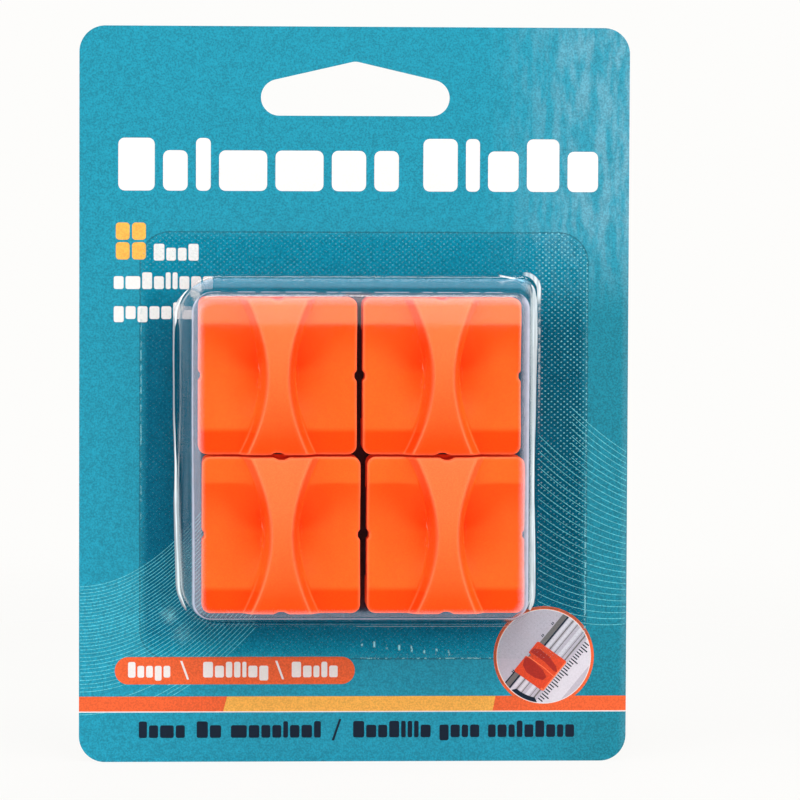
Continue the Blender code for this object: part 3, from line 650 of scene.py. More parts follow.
def clear_material():
    """Thermoformed clear sheet, with painted highlights and reflections mixed in as a pale diffuse share where it is
    bent and on its flange.

    Vertex values: flange and wall are 1 there; across runs over the base fillet from 0 at the foot to 1
    and on to 3 up the wall; lip runs over the front fillet from 0 to 1 and on inwards over the front.
    """
    g = Graph("clear_sheet_film")
    place = g.place()
    x, y, z = g.split(place)
    flange = g.attribute("flange")
    wall = g.attribute("wall")
    across = g.attribute("across")
    lip = g.attribute("lip")
    facing = g.node("LayerWeight", {"Blend": 0.5}).outputs["Facing"]
    schlick = g.math("MULTIPLY_ADD", g.math("POWER", facing, 5.0), 0.94, 0.045)
    schlick = g.math("MULTIPLY", schlick, g.math("MULTIPLY_ADD", flange, -0.97, 1.0))

    east = g.math("SUBTRACT", x, FRONT_CENTRE[0] * MM)
    north = g.math("SUBTRACT", z, FRONT_CENTRE[1] * MM)
    wide = g.math("DIVIDE", g.math("ABSOLUTE", east), FRONT[0] / 2 * MM)
    tall = g.math("DIVIDE", g.math("ABSOLUTE", north), FRONT[1] / 2 * MM)
    sideways = g.ramp(g.math("SUBTRACT", wide, tall), -0.05, 0.05)
    upright = g.math("SUBTRACT", 1.0, sideways)
    right = g.math("MULTIPLY", sideways, g.math("GREATER_THAN", east, 0.0))
    left = g.math("SUBTRACT", sideways, right)
    top = g.math("MULTIPLY", upright, g.math("GREATER_THAN", north, 0.0))
    bottom = g.math("SUBTRACT", upright, top)
    on_right = g.math("GREATER_THAN", east, 0.0)
    on_left = g.math("SUBTRACT", 1.0, on_right)

    streaks = g.noise(place, 1300.0, 3.0, 0.6, (1.0, 0.3, 0.05))
    ragged = g.math("MULTIPLY_ADD", streaks, 0.24, g.math("SUBTRACT", across, 0.12))

    def strip(side, low_edge, high_edge, start, end):
        """A painted highlight strip between two curves across the fillet, from low to high along z."""
        low = g.math("MULTIPLY_ADD", g.curve(z, start, end, low_edge), 1.5, -0.3)
        high = g.math("MULTIPLY_ADD", g.curve(z, start, end, high_edge), 1.5, -0.3)
        inside = g.math("MULTIPLY", g.ramp(g.math("SUBTRACT", ragged, low), -0.04, 0.04),
                        g.ramp(g.math("SUBTRACT", high, ragged), -0.04, 0.04))
        return g.product(inside, side, g.math("LESS_THAN", lip, -0.5), g.ramp(z, end - 0.0006, end, 1.0, 0.0))

    # painted highlights: strips down the left and right base fillets, standing in for reflections of the side softboxes
    left_strip = strip(
        on_left,
        ((0.031, 0.20), (0.036, 0.20), (0.052, 0.28), (0.059, 0.38), (0.065, 0.26), (0.074, 0.18),
         (0.093, 0.22), (0.0950, 0.36), (0.0970, 0.62)),
        ((0.031, 0.20), (0.033, 0.62), (0.036, 0.82), (0.046, 0.96), (0.053, 0.92), (0.059, 0.80), (0.065, 0.54),
         (0.073, 0.41), (0.088, 0.40), (0.0905, 0.70), (0.093, 0.74), (0.0950, 0.64), (0.0970, 0.64)),
        0.031, 0.0970)
    left_shade = g.ramp(g.math("MULTIPLY_ADD", streaks, 0.5, g.math("ABSOLUTE", g.math("SUBTRACT", across, 0.55))),
                        0.25, 0.55, 0.95, 0.42)
    right_strip = strip(
        on_right,
        ((0.031, 0.20), (0.034, 0.24), (0.040, 0.28), (0.048, 0.38), (0.058, 0.54), (0.067, 0.40), (0.075, 0.28),
         (0.085, 0.20), (0.0935, 0.22), (0.0955, 0.40), (0.0980, 0.82)),
        ((0.031, 0.22), (0.033, 0.80), (0.037, 0.88), (0.060, 0.88), (0.090, 0.88), (0.0950, 0.97), (0.0980, 0.88)),
        0.031, 0.0980)
    right_shade = g.ramp(streaks, 0.36, 0.62, 0.62, 0.97)
    strips = g.most(g.product(left_strip, left_shade), g.product(right_strip, right_shade))

    # painted glints sweeping round the base fillet's top right corner
    outer = g.product(g.band(across, -0.45, 0.10, 0.14), g.ramp(x, 0.0340, 0.0356), g.ramp(z, 0.0925, 0.0960))
    centre = g.math("MULTIPLY_ADD", x, 221.0, -6.41)
    inner = g.ramp(g.math("ABSOLUTE", g.math("SUBTRACT", across, centre)), 0.12, 0.26, 1.0, 0.0)
    inner = g.product(inner, g.band(x, 0.0296, 0.0344, 0.0010), g.ramp(z, 0.0935, 0.0950))
    corner = g.product(g.most(outer, inner), g.ramp(streaks, 0.35, 0.6, 0.45, 0.95))

    # painted reflections along the front fillet, different on each side
    lips = 0.0
    for side, heights in ((left, ((-0.3, 0), (-0.1, 0.08), (0.05, 0.58), (0.25, 0.27), (1.0, 0.24), (1.4, 0.10), (2.2, 0), (3.0, 0))),
                          (right, ((-0.3, 0), (-0.1, 0.10), (0.03, 0.62), (0.4, 0.42), (0.9, 0.22), (1.3, 0.08), (1.9, 0), (3.0, 0))),
                          (bottom, ((-0.3, 0), (-0.05, 0.10), (0.12, 0.40), (0.3, 0.06), (0.5, 0.17), (0.9, 0.13), (1.5, 0.02), (3.0, 0))),
                          (top, ((-0.3, 0), (0.1, 0.04), (0.4, 0.14), (1.1, 0.14), (1.7, 0.07), (2.4, 0), (3.0, 0)))):
        lips = g.math("MULTIPLY_ADD", g.curve(lip, -0.3, 3.0, heights), side, lips)
    lips = g.math("MULTIPLY", lips, g.ramp(g.noise(place, 700.0, 3.0, 0.6), 0.3, 0.7, 0.94, 1.06))
    # painted dashed highlight along the top of the front fillet
    dashes = g.ramp(g.noise(place, 210.0, 2.0, 0.5, (1.0, 0.0, 0.0)), 0.43, 0.50)
    dashes = g.product(g.band(lip, 0.01, 0.07, 0.03), dashes, top, 0.55)

    # painted sheen up the left wall with a painted glint low on it, a painted light band up the top wall, a painted
    # light line along the bottom foot and painted glints on the flange beside the right wall
    grit = g.ramp(g.noise(place, 2000.0, 2.0, 0.7), 0.32, 0.68, 0.72, 1.28)
    climb = g.math("MULTIPLY_ADD", across, 0.5, -0.5)
    start = g.ramp(z, 0.058, 0.068, 0.34, 0.04)
    left_wall = g.ramp(g.math("SUBTRACT", climb, start), 0.0, 0.06)
    left_wall = g.product(left_wall, left, wall, g.ramp(streaks, 0.3, 0.7, 0.05, 0.13), grit)
    glint = g.product(g.band(climb, 0.44, 0.52, 0.06), left, g.band(z, 0.034, 0.058, 0.006), 0.10)
    top_wall = g.curve(across, 0.8, 3.0, ((0.8, 0), (0.98, 0.32), (1.25, 0.27), (2.2, 0.17), (2.45, 0.04), (3.0, 0.02)))
    top_wall = g.product(top_wall, top, g.math("LESS_THAN", across, 3.5), grit)
    foot_line = g.product(g.band(across, 0.36, 0.50, 0.12), bottom, 0.13)
    beside = g.product(g.band(across, -0.42, -0.12, 0.12), right, g.ramp(z, 0.064, 0.080),
                       g.ramp(g.noise(place, 900.0, 2.0, 0.6), 0.40, 0.60, 0.10, 0.42))
    seal = seal_marks_and_glints(g, place, x, z, flange)
    # all the painted highlights and reflections, with the seal marks, shown as a pale diffuse share
    painted_glare_and_seal_marks = g.most(strips, corner, lips, dashes, left_wall, glint, top_wall, foot_line, beside, seal)

    film = g.noise(place, 300.0, 2.0, 0.5)
    bend = g.bump(streaks, 0.0002, g.math("MULTIPLY", wall, 0.35))
    deep = g.math("POWER", facing, 2.0)
    tint = g.mix(deep, (0.975, 0.985, 0.99), (0.62, 0.68, 0.76))
    tint = g.mix(flange, tint, (0.97, 0.985, 0.985))
    # painted shade: the bottom, right and lower left walls let through darker, bluer light when seen at a grazing angle
    painted_wall_shade = g.most(g.product(g.band(across, 0.45, 3.0, 0.1), bottom),
                 g.product(g.band(across, 1.05, 3.0, 0.1), right),
                 g.product(g.ramp(g.math("SUBTRACT", climb, start), -0.04, 0.02, 1.0, 0.0), left, 0.8,
                           g.ramp(across, 1.0, 1.1)))
    tint = g.mix(g.math("MULTIPLY", painted_wall_shade, g.ramp(facing, 0.45, 0.75)), tint, (0.34, 0.40, 0.50))
    clear = g.node("BsdfTransparent", {"Color": tint})
    g.principled(Base_Color=(1.0, 1.0, 1.0), Metallic=1.0, Normal=bend)
    rough = g.ramp(film, 0.3, 0.7, 0.015, 0.03)
    rough = g.math("ADD", rough, g.math("MULTIPLY", flange, 0.25))
    g.principled(Roughness=g.math("ADD", rough, g.math("MULTIPLY", wall, 0.06)))
    # colour of the painted highlights: lilac on the front fillet, blue on the top wall, teal-grey on the left wall,
    # teal on the flange
    highlight_hue = g.mix(g.ramp(lip, -0.4, -0.1), (0.84, 0.92, 0.95), (0.80, 0.79, 0.95))
    highlight_hue = g.mix(g.product(g.band(across, 0.8, 2.95, 0.1), top), highlight_hue, (0.33, 0.66, 0.86))
    highlight_hue = g.mix(g.product(wall, left), highlight_hue, (0.46, 0.66, 0.78))
    highlight_hue = g.mix(g.math("MULTIPLY", flange, g.ramp(across, -0.8, -0.5, 1.0, 0.0)), highlight_hue, (0.30, 0.78, 0.86))
    white = g.node("BsdfDiffuse", {"Color": highlight_hue})
    mirror = g.node("MixShader", {0: schlick, 1: clear.outputs[0], 2: g.shader.outputs[0]})
    mixed = g.node("MixShader", {0: painted_glare_and_seal_marks, 1: mirror.outputs[0], 2: white.outputs[0]})
    g.put(g.output.inputs["Surface"], mixed.outputs[0])
    return g.material


BASE, BASE_CENTRE, BASE_FILLET = (74.2, 71.9), (0.20, 63.7), 1.3
FRONT, FRONT_CENTRE, FRONT_FILLET = (67.0, 65.15), (0.48, 63.72), 1.1
# corner radii: top right, top left, bottom left, bottom right
BASE_CORNERS = np.array((3.2, 9.0, 9.0, 7.0))
FRONT_CORNERS = np.array((3.0, 3.9, 3.2, 3.2))


def make_blister():
    """The sheet as rings from the flange's rim up the wall to the flat front."""
    thickness = 0.35
    floor = -FACE + 0.25
    skin = DOME_TOP - floor - thickness
    flange_centre = ((sheet_low.x + sheet_high.x) / 2 / MM, (sheet_low.z + sheet_high.z) / 2 / MM)
    flange = ((sheet_high.x - sheet_low.x) / MM, (sheet_high.z - sheet_low.z) / MM)
    rings = []

    def add(size, radii, centre, lift, **kind):
        rings.append((ring_points(size[0], size[1], radii, centre), lift, kind))

    for t in (0.0, 0.03, 0.12, 0.3, 0.5, 0.7, 0.85, 0.93, 0.955, 0.975):
        size = [flange[k] + (BASE[k] - flange[k]) * t for k in (0, 1)]
        c = [flange_centre[k] + (BASE_CENTRE[k] - flange_centre[k]) * t for k in (0, 1)]
        gap = (flange[0] - BASE[0]) / 2 * (1.0 - t)
        add(size, 6.0 * (1.0 - t) + BASE_CORNERS * t, c, 0.0, flange=1.0, across=-gap / BASE_FILLET, lip=-3.0,
            skew=t ** 3)
    for i in range(9):
        turn = math.pi / 2 * i / 8
        inset = BASE_FILLET * math.sin(turn)
        size = [b - 2 * inset for b in BASE]
        add(size, BASE_CORNERS - inset, BASE_CENTRE, BASE_FILLET * (1.0 - math.cos(turn)),
            flange=1.0 if i == 0 else 0.0, across=math.sin(turn), lip=-3.0, skew=1.0)
    rise = skin - FRONT_FILLET - BASE_FILLET
    for t in (0.04, 0.15, 0.3, 0.45, 0.6, 0.75, 0.9, 0.97):
        size = [(BASE[k] - 2 * BASE_FILLET) * (1.0 - t) + FRONT[k] * t for k in (0, 1)]
        c = [BASE_CENTRE[k] * (1.0 - t) + FRONT_CENTRE[k] * t for k in (0, 1)]
        add(size, (BASE_CORNERS - BASE_FILLET) * (1.0 - t) + FRONT_CORNERS * t, c, BASE_FILLET + rise * t,
            wall=1.0, across=1.0 + 2.0 * t, lip=(t - 1.0) * 3.0, skew=1.0 - t)
    for i in range(11):
        turn = math.pi / 2 * i / 10
        sink = 1 - math.cos(turn)
        add([f - 2 * FRONT_FILLET * sink for f in FRONT], FRONT_CORNERS - 0.7 * sink, FRONT_CENTRE,
            skin - FRONT_FILLET * (1 - math.sin(turn)), across=4.0, lip=sink)
    for inset in (0.4, 0.8, 1.2, 1.8, 2.6, 4.0, 7.0, 12.0, 18.0, 24.0, 30.0):
        size = [f - 2 * FRONT_FILLET - 2 * inset for f in FRONT]
        add(size, np.maximum(0.3, FRONT_CORNERS - 0.7 - inset), FRONT_CENTRE, skin, across=4.0,
            lip=1.0 + inset / FRONT_FILLET)

    bm = bmesh.new()
    layers = {kind: bm.verts.layers.float.new(kind) for kind in ("flange", "wall", "across", "lip")}
    loops = []
    for points, lift, kind in rings:
        loop = []
        for x, z in points:
            lean = 0.65 * kind.get("skew", 0.0) * smoothstep((56.0 - z) / 24.0) * smoothstep(-x / 20.0)
            if kind.get("lip", -3.0) >= 0.0:
                lean = 0.35 * smoothstep((75.0 - z) / 35.0) * smoothstep(-x / 20.0)
            ripple = math.sin(x * 0.32 + z * 0.11) + math.sin(z * 0.47 - x * 0.09)
            ripple = 0.05 * max(0.0, ripple) * (kind.get("flange", 0.0) > 0)
            v = bm.verts.new(((x + lean) * MM, -(floor + lift + ripple) * MM, z * MM))
            for name, layer in layers.items():
                v[layer] = kind.get(name, 0.0)
            loop.append(v)
        loops.append(loop)
    for lower, upper in zip(loops, loops[1:]):
        for i in range(len(lower)):
            j = (i + 1) % len(lower)
            bm.faces.new((lower[i], lower[j], upper[j], upper[i]))
    bm.faces.new(loops[-1])
    bmesh.ops.recalc_face_normals(bm, faces=bm.faces[:])
    obj = mesh_object("blister_sheet", bm, clear_material(), "pack")
    obj.data.materials.append(clear_inside())
    thick = obj.modifiers.new("Sheet", "SOLIDIFY")
    thick.material_offset = 1
    thick.thickness = thickness * MM
    thick.offset = 1.0
    thick.use_even_offset = True
    smooth(obj.data, 40.0)
    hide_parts("clear_blister")
    return obj


# ---------------------------------------------------------------- cap

CAP_X, CAP_Z = 16.0, 15.85
CORNER = 1.8
SKIRT = 4.7
RIDGE_TOP, RIDGE_DROP = 17.0, 3.9
CREST_AT = 0.68


def wing(s, t):
    """Height of a wing at s along the ridge and t across it: a scoop between two crests."""
    a = np.abs(s)
    end = 11.2 - 0.8 * (a - CREST_AT) / (1 - CREST_AT)
    middle = 7.4 + 2.5 * (1 - (1 - t) ** 2)
    q = np.minimum(a / CREST_AT, 1.0)
    crisp = np.minimum(1.0, t / 0.6)
    rise = crisp * q ** 2 + (1 - crisp) * q * q * (3 - 2 * q)
    return np.where(a > CREST_AT, end, middle + (11.2 - middle) * rise)


def soft_min(a, b, k):
    h = np.maximum(k - np.abs(a - b), 0.0) / k
    return np.minimum(a, b) - h * h * k / 4


def ridge_edge(s):
    """Half width of the ridge's top, an hourglass along the cap."""
    return 2.15 + 3.95 * np.abs(s) ** 1.9


def ridge_foot(s):
    return ridge_edge(s) + 1.25 + 0.4 * s * s


def cap_height(x, z):
    """Height of the cap's top surface, without its rounded rim."""
    s = np.clip(z / CAP_Z, -1.0, 1.0)
    x = np.abs(x)
    edge = ridge_edge(s)
    foot = ridge_foot(s)
    top = RIDGE_TOP - RIDGE_DROP * s * s
    t = np.clip((x - foot) / (CAP_X - foot), 0.0, 1.0)
    low = sum(wing(np.clip(s + d, -1.0, 1.0), t) for d in (-0.024, -0.012, 0.0, 0.012, 0.024)) / 5
    base = wing(s, np.zeros_like(s))
    slope = (top - base) / (foot - edge)
    wall = top - slope * (x - edge)
    crown = top - 0.10 * (x / edge) ** 2
    height = soft_min(crown, wall, slope * 0.42)
    return -soft_min(-height, -low, slope * 0.45)


def notch(v, half, depth):
    """How far the outline steps in at v along a side, with a small notch in the middle."""
    t = np.clip((half - np.abs(v)) / (half - 0.35), 0.0, 1.0)
    return depth * t * t * (3 - 2 * t)


def corner_shift(along, size):
    """Displacement (outward, along) of a straight side's point so that it lies on the rounded corner."""
    d = np.maximum(0.0, CORNER - (size - np.abs(along)))
    angle = math.pi / 4 * d / CORNER
    out = CORNER * (np.cos(angle) - 1.0)
    slide = CORNER * np.sin(angle) - d
    return out, slide * np.sign(along)


def cap_plan(x, z):
    """Moves points of the cap's rectangle so that its sides take the rounded, notched outline."""
    def fade(distance):
        w = np.clip(1.0 - distance / 3.2, 0.0, 1.0)
        return w * w * (3 - 2 * w)
    right = fade(CAP_X - np.abs(x))
    upper = fade(CAP_Z - np.abs(z))
    out_x, slide_z = corner_shift(z, CAP_Z)
    out_x = out_x - notch(z, 1.15, 0.45)
    out_z, slide_x = corner_shift(x, CAP_X)
    out_z = out_z - notch(x, 1.75, 0.50)
    corner = CORNER * (math.cos(math.pi / 4) - 1.0)
    new_x = x + right * out_x * np.sign(x) + upper * slide_x - right * upper * corner * np.sign(x)
    new_z = z + upper * out_z * np.sign(z) + right * slide_z - right * upper * corner * np.sign(z)
    return new_x, new_z


def rim_distance(x, z, outline):
    """Distance from each point to the closed outline."""
    best = np.full(x.shape, 1e9)
    count = len(outline)
    for i in range(count):
        (ax, az), (bx, bz) = outline[i], outline[(i + 1) % count]
        dx, dz = bx - ax, bz - az
        length = dx * dx + dz * dz
        if length < 1e-12:
            continue
        t = np.clip(((x - ax) * dx + (z - az) * dz) / length, 0.0, 1.0)
        best = np.minimum(best, (x - ax - t * dx) ** 2 + (z - az - t * dz) ** 2)
    return np.sqrt(best)


def cap_grid():
    rim = [0.8, 0.62, 0.5, 0.4, 0.3, 0.2, 0.12, 0.05, 0.0]
    rows = [0.0, 0.18, 0.35, 0.5, 0.65, 0.8, 0.95, 1.15, 1.4]
    rows += list(np.linspace(1.7, CAP_Z - 1.0, 36)) + [CAP_Z - r for r in rim]
    rows = [-z for z in rows[:0:-1]] + rows
    grid_x, grid_z = [], []
    for z in rows:
        s = z / CAP_Z
        edge = ridge_edge(s)
        foot = ridge_foot(s)
        inner = edge - 0.45
        half = [inner * f for f in (0, .035, .0708, .11, .15, .2, .241, .283, .34, .43, .55, .7, .85)]
        half += list(edge + np.linspace(-0.45, 0.45, 11))
        half += list(np.linspace(edge + 0.45, foot - 0.6, 5))[1:-1]
        half += list(foot + np.linspace(-0.6, 0.6, 11))
        half += list(np.linspace(foot + 0.6, CAP_X - 0.8, 15))[1:-1]
        half += [CAP_X - r for r in rim]
        line = [-x for x in half[:0:-1]] + half
        grid_x.append(line)
        grid_z.append([z] * len(line))
    return np.array(grid_x), np.array(grid_z)


def cap_top_mesh():
    gx, gz = cap_grid()
    px, pz = cap_plan(gx, gz)
    loop = [(0, j) for j in range(px.shape[1])]
    loop += [(i, px.shape[1] - 1) for i in range(1, px.shape[0])]
    loop += [(px.shape[0] - 1, j) for j in range(px.shape[1] - 2, -1, -1)]
    loop += [(i, 0) for i in range(px.shape[0] - 2, 0, -1)]
    outline = [(px[i, j], pz[i, j]) for i, j in loop]
    away = rim_distance(px, pz, outline)
    radius = 0.55
    c = np.clip(1.0 - away / radius, 0.0, 1.0)
    height = cap_height(px, pz) - radius * (1 - np.sqrt(1 - c * c))
    bm = bmesh.new()
    rows = [[bm.verts.new((px[i, j] * MM, -height[i, j] * MM, pz[i, j] * MM)) for j in range(px.shape[1])]
            for i in range(px.shape[0])]
    for a, b in zip(rows, rows[1:]):
        for j in range(len(a) - 1):
            bm.faces.new((a[j], a[j + 1], b[j + 1], b[j]))
    rim = [rows[i][j] for i, j in loop]
    points = np.array(outline)
    run = np.roll(points, -1, axis=0) - np.roll(points, 1, axis=0)
    run /= np.linalg.norm(run, axis=1)[:, None]
    inward = np.stack([-run[:, 1], run[:, 0]], axis=1)
    levels = [rim]
    for level, inset in ((8.0, 0.0), (SKIRT + 0.15, 0.0), (SKIRT, 0.15)):
        levels.append([bm.verts.new(((x + ix * inset) * MM, -level * MM, (z + iz * inset) * MM))
                       for (x, z), (ix, iz) in zip(outline, inward)])
    for a, b in zip(levels, levels[1:]):
        for i in range(len(a)):
            j = (i + 1) % len(a)
            bm.faces.new((a[i], b[i], b[j], a[j]))
    bm.faces.new(levels[-1])
    bmesh.ops.recalc_face_normals(bm, faces=bm.faces[:])
    return bm, outline


def round_block(half_x, half_z, low, high, radius):
    """A box in cap space with its upright edges rounded."""
    outline = rounded_rectangle(-half_x, half_x, -half_z, half_z, radius, 8)
    return plate([outline], -low, -high)


def round_post(radius, low, high, z=0.0, segments=40):
    outline = arc((0.0, z), radius, 0, 360, segments)[:-1]
    return plate([outline], -low, -high)


def boolean(obj, tool, operation="DIFFERENCE"):
    modifier = obj.modifiers.new(operation.title(), "BOOLEAN")
    modifier.operation = operation
    modifier.object = tool
    modifier.solver = "EXACT"


def baked(obj):
    """The object's mesh with its modifiers applied."""
    bpy.context.view_layer.update()
    graph = bpy.context.evaluated_depsgraph_get()
    return bpy.data.meshes.new_from_object(obj.evaluated_get(graph))


def cap_mesh():
    """The cap with its hollow underside, made once for the four cartridges."""
    bm, outline = cap_top_mesh()
    cap = mesh_object("cap_form", bm, None)
    tools = [cap]

    def tool(form):
        tools.append(mesh_object("cap_tool_%d" % len(tools), form, None))
        return tools[-1]

    pocket = tool(round_block(CAP_X - 1.4, CAP_Z - 1.4, 3.0, 8.6, 1.0))
    island = tool(round_block(11.4, 11.4, 6.0, 9.6, 1.0))
    boolean(pocket, island)
    boolean(cap, pocket)
    boolean(cap, tool(round_post(1.6, 5.0, 12.3)))
    for side in (-1, 1):
        bore = tool(round_post(2.3, 5.0, 12.0, side * 9.6))
        boolean(bore, tool(round_post(1.1, 9.6, 13.0, side * 9.6)))
        boolean(cap, bore)
    mesh = baked(cap)
    mesh.name = "grip_cap_moulded"
    for obj in tools:
        bpy.data.objects.remove(obj)
    co = np.zeros(len(mesh.vertices) * 3)
    mesh.vertices.foreach_get("co", co)
    co = co.reshape(-1, 3) / MM
    x, height, z = co[:, 0], -co[:, 1], co[:, 2]
    away = rim_distance(x, z, outline)
    surface = cap_height(x, z)
    edge = ridge_edge(z / CAP_Z)
    # painted highlights: a line along the ridge's top edges (lip), the cap's rounded rim (rim), and the ridge's top,
    # stronger towards its upper end (crown)
    lip = np.exp(-((np.abs(x) - edge + 0.05) / 0.28) ** 2) * (height > surface - 0.7)
    rim = np.exp(-(away / 0.35) ** 2) * (height > surface - 0.9)
    crown = (np.abs(x) < edge) * (height > surface - 0.7) * np.clip(0.36 + z / CAP_Z * 0.40, 0.0, 0.5)
    foot = np.exp(-((np.abs(x) - ridge_foot(z / CAP_Z) - 0.1) / 0.4) ** 2) * np.exp(-(z / 3.5) ** 2)
    top = height > surface - 0.7
    reach = ridge_foot(z / CAP_Z)
    lower = np.clip((-z / CAP_Z - 0.45) / 0.35, 0, 1)
    # painted highlight line along the ridge's foot over the lower part
    lip = lip + 0.55 * lower * np.exp(-((np.abs(x) - reach) / 0.16) ** 2) * top
    # painted shade on the lower end band and beside the ridge's lower half, weaker on the ridge (foot_shade)
    end_band = np.clip((-z / CAP_Z - CREST_AT + 0.03) / 0.07, 0, 1)
    beside = np.maximum(end_band, (np.abs(x) < reach + 0.5) * lower)
    foot_shade = np.where(np.abs(x) > edge, beside, 0.65 * lower) * top
    # painted light on the upper walls of the ridge
    upper = np.clip((z / CAP_Z - 0.4) / 0.35, 0, 1)
    lip = lip + 0.38 * upper * (np.abs(x) > edge) * (np.abs(x) < reach + 0.1) * top
    # the first attribute holds the painted highlights, foot where pale scuffs lie, foot_shade the painted shade
    for name, values in (("painted_highlight", np.clip(lip + rim + crown, 0, 1)), ("foot", foot * top),
                         ("ridge", (np.abs(x) < edge) * top), ("foot_shade", foot_shade)):
        layer = mesh.attributes.new(name, "FLOAT", "POINT")
        layer.data.foreach_set("value", values.astype(np.float32))
    smooth(mesh, 38.0)
    return mesh


def orange_plastic(name, tint=1.0):
    """Bright, slightly fluorescent orange plastic, with painted highlights on its edges, rim and ridge top, painted
    shade on faces turned down and on the lower end, painted light on faces turned to +x, a painted glow towards the
    front, and pale scuffs by the ridge's foot.
    """
    g = Graph(name)
    place = g.place()
    random_shift = g.math("MULTIPLY", g.node("ObjectInfo").outputs["Random"], 5.0)
    shifted = g.node("VectorMath", {0: place, 1: g.node("CombineXYZ", {0: random_shift, 2: random_shift}).outputs[0]},
                     operation="ADD").outputs[0]
    grain = g.noise(shifted, 1500.0, 3.0, 0.6)
    flow = g.noise(shifted, 110.0, 3.0, 0.55, (1.0, 1.0, 0.5))
    painted_highlight = g.attribute("painted_highlight")
    base = g.mix(g.ramp(flow, 0.3, 0.7), (1.28 * tint, 0.143 * tint, 0.010), (1.34 * tint, 0.162 * tint, 0.014))
    normal = g.split(g.node("NewGeometry").outputs["Normal"])
    # painted shade: faces turned down darken, less on the ridge, and so does the lower end band (foot_shade)
    down = g.math("MULTIPLY", g.ramp(normal[2], -0.02, -0.26, 0.0, 0.58), g.ramp(g.attribute("ridge"), 0.2, 0.8, 1.0, 0.25))
    painted_lower_shade = g.most(down, g.math("MULTIPLY", g.attribute("foot_shade"), 0.88))
    base = g.mix(painted_lower_shade, base, (1.10, 0.068, 0.001))
    # painted light: faces turned towards +x are paler
    base = g.mix(g.ramp(normal[0], 0.15, 0.8, 0.0, 0.45), base, (1.36, 0.185, 0.016))
    # painted highlights on the ridge's edges, the rim and the ridge top
    base = g.mix(g.math("MULTIPLY", painted_highlight, 0.55), base, (1.30, 0.34, 0.15))
    # painted glow: red emission, stronger on faces turned to the front, stands in for fluorescence and extra light
    towards = g.math("MULTIPLY", normal[1], -1.0)
    g.principled(Emission_Color=(1.0, 0.03, 0.0), Emission_Strength=g.ramp(towards, 0.3, 0.9, 0.07, 0.26 * tint))
    base = g.mix(g.node("LightPath").outputs["Is Diffuse Ray"], base, (0.60, 0.050, 0.003))
    mottle = grey(g, g.ramp(g.noise(shifted, 2600.0, 2.0, 0.7), 0.32, 0.68, 0.93, 1.07))
    base = g.mix(1.0, base, mottle, "MULTIPLY")
    scuffs = g.ramp(g.noise(place, 2200.0, 2.0, 0.6, (1.0, 1.0, 0.16)), 0.58, 0.66)
    base = g.mix(g.product(g.attribute("foot"), scuffs, 0.5), base, (1.30, 0.62, 0.42))
    g.principled(Base_Color=base, Roughness=g.ramp(grain, 0.3, 0.7, 0.40, 0.52))
    g.principled(Normal=g.bump(g.math("ADD", grain, g.math("MULTIPLY", flow, 1.5)), 0.00002, 0.5))
    g.principled(Specular_IOR_Level=g.ramp(painted_lower_shade, 0.0, 0.85, 0.13, 0.04))
    return g.material


def make_caps():
    mesh = cap_mesh()
    mesh.materials.clear()
    mesh.materials.append(orange_plastic("moulded_orange"))
    for place in PLACES:
        low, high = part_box(place + "_grip_cap")
        obj = link(bpy.data.objects.new(place + "_cap_moulding", mesh))
        obj.location = ((low.x + high.x) / 2, high.y + SKIRT * MM, (low.z + high.z) / 2)
        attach(obj, place + "_cutter")
        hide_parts(place + "_grip_cap")


# ---------------------------------------------------------------- hidden parts of the cartridges

def white_plastic():
    g = Graph("moulded_white")
    grain = g.noise(g.place(), 1800.0, 3.0, 0.6)
    tone = g.mix(g.ramp(grain, 0.3, 0.7), (0.74, 0.74, 0.71), (0.82, 0.82, 0.80))
    g.principled(Base_Color=tone, Roughness=g.ramp(grain, 0.3, 0.7, 0.4, 0.55))
    g.principled(Normal=g.bump(grain, 0.00002, 0.4))
    return g.material


def steel(name, scale, stretch, low, high):
    g = Graph(name)
    lines = g.noise(g.place(), scale, 4.0, 0.7, stretch)
    tone = g.mix(g.ramp(lines, 0.3, 0.7), (0.50, 0.51, 0.53), (0.70, 0.71, 0.73))
    g.principled(Base_Color=tone, Metallic=1.0, Roughness=g.ramp(lines, 0.3, 0.7, low, high))
    g.principled(Normal=g.bump(lines, 0.000006, 0.6))
    return g.material


def dress_nodes():
    shoe = orange_plastic("moulded_orange_shoe", 0.93)
    holder = white_plastic()
    blade = steel("ground_steel", 900.0, (0.1, 6.0, 1.0), 0.16, 0.34)
    for place in PLACES:
        for piece, mat in (("_rail_shoe", shoe), ("_blade_holder", holder), ("_blade", blade)):
            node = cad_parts[place + piece]
            for slot in node.material_slots:
                slot.material = mat
        round_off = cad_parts[place + "_rail_shoe"].modifiers.new("Edges", "BEVEL")
        round_off.width = 0.12 * MM
        round_off.segments = 2
        round_off.limit_method = "ANGLE"
        round_off.angle_limit = math.radians(50)
        round_off.harden_normals = True


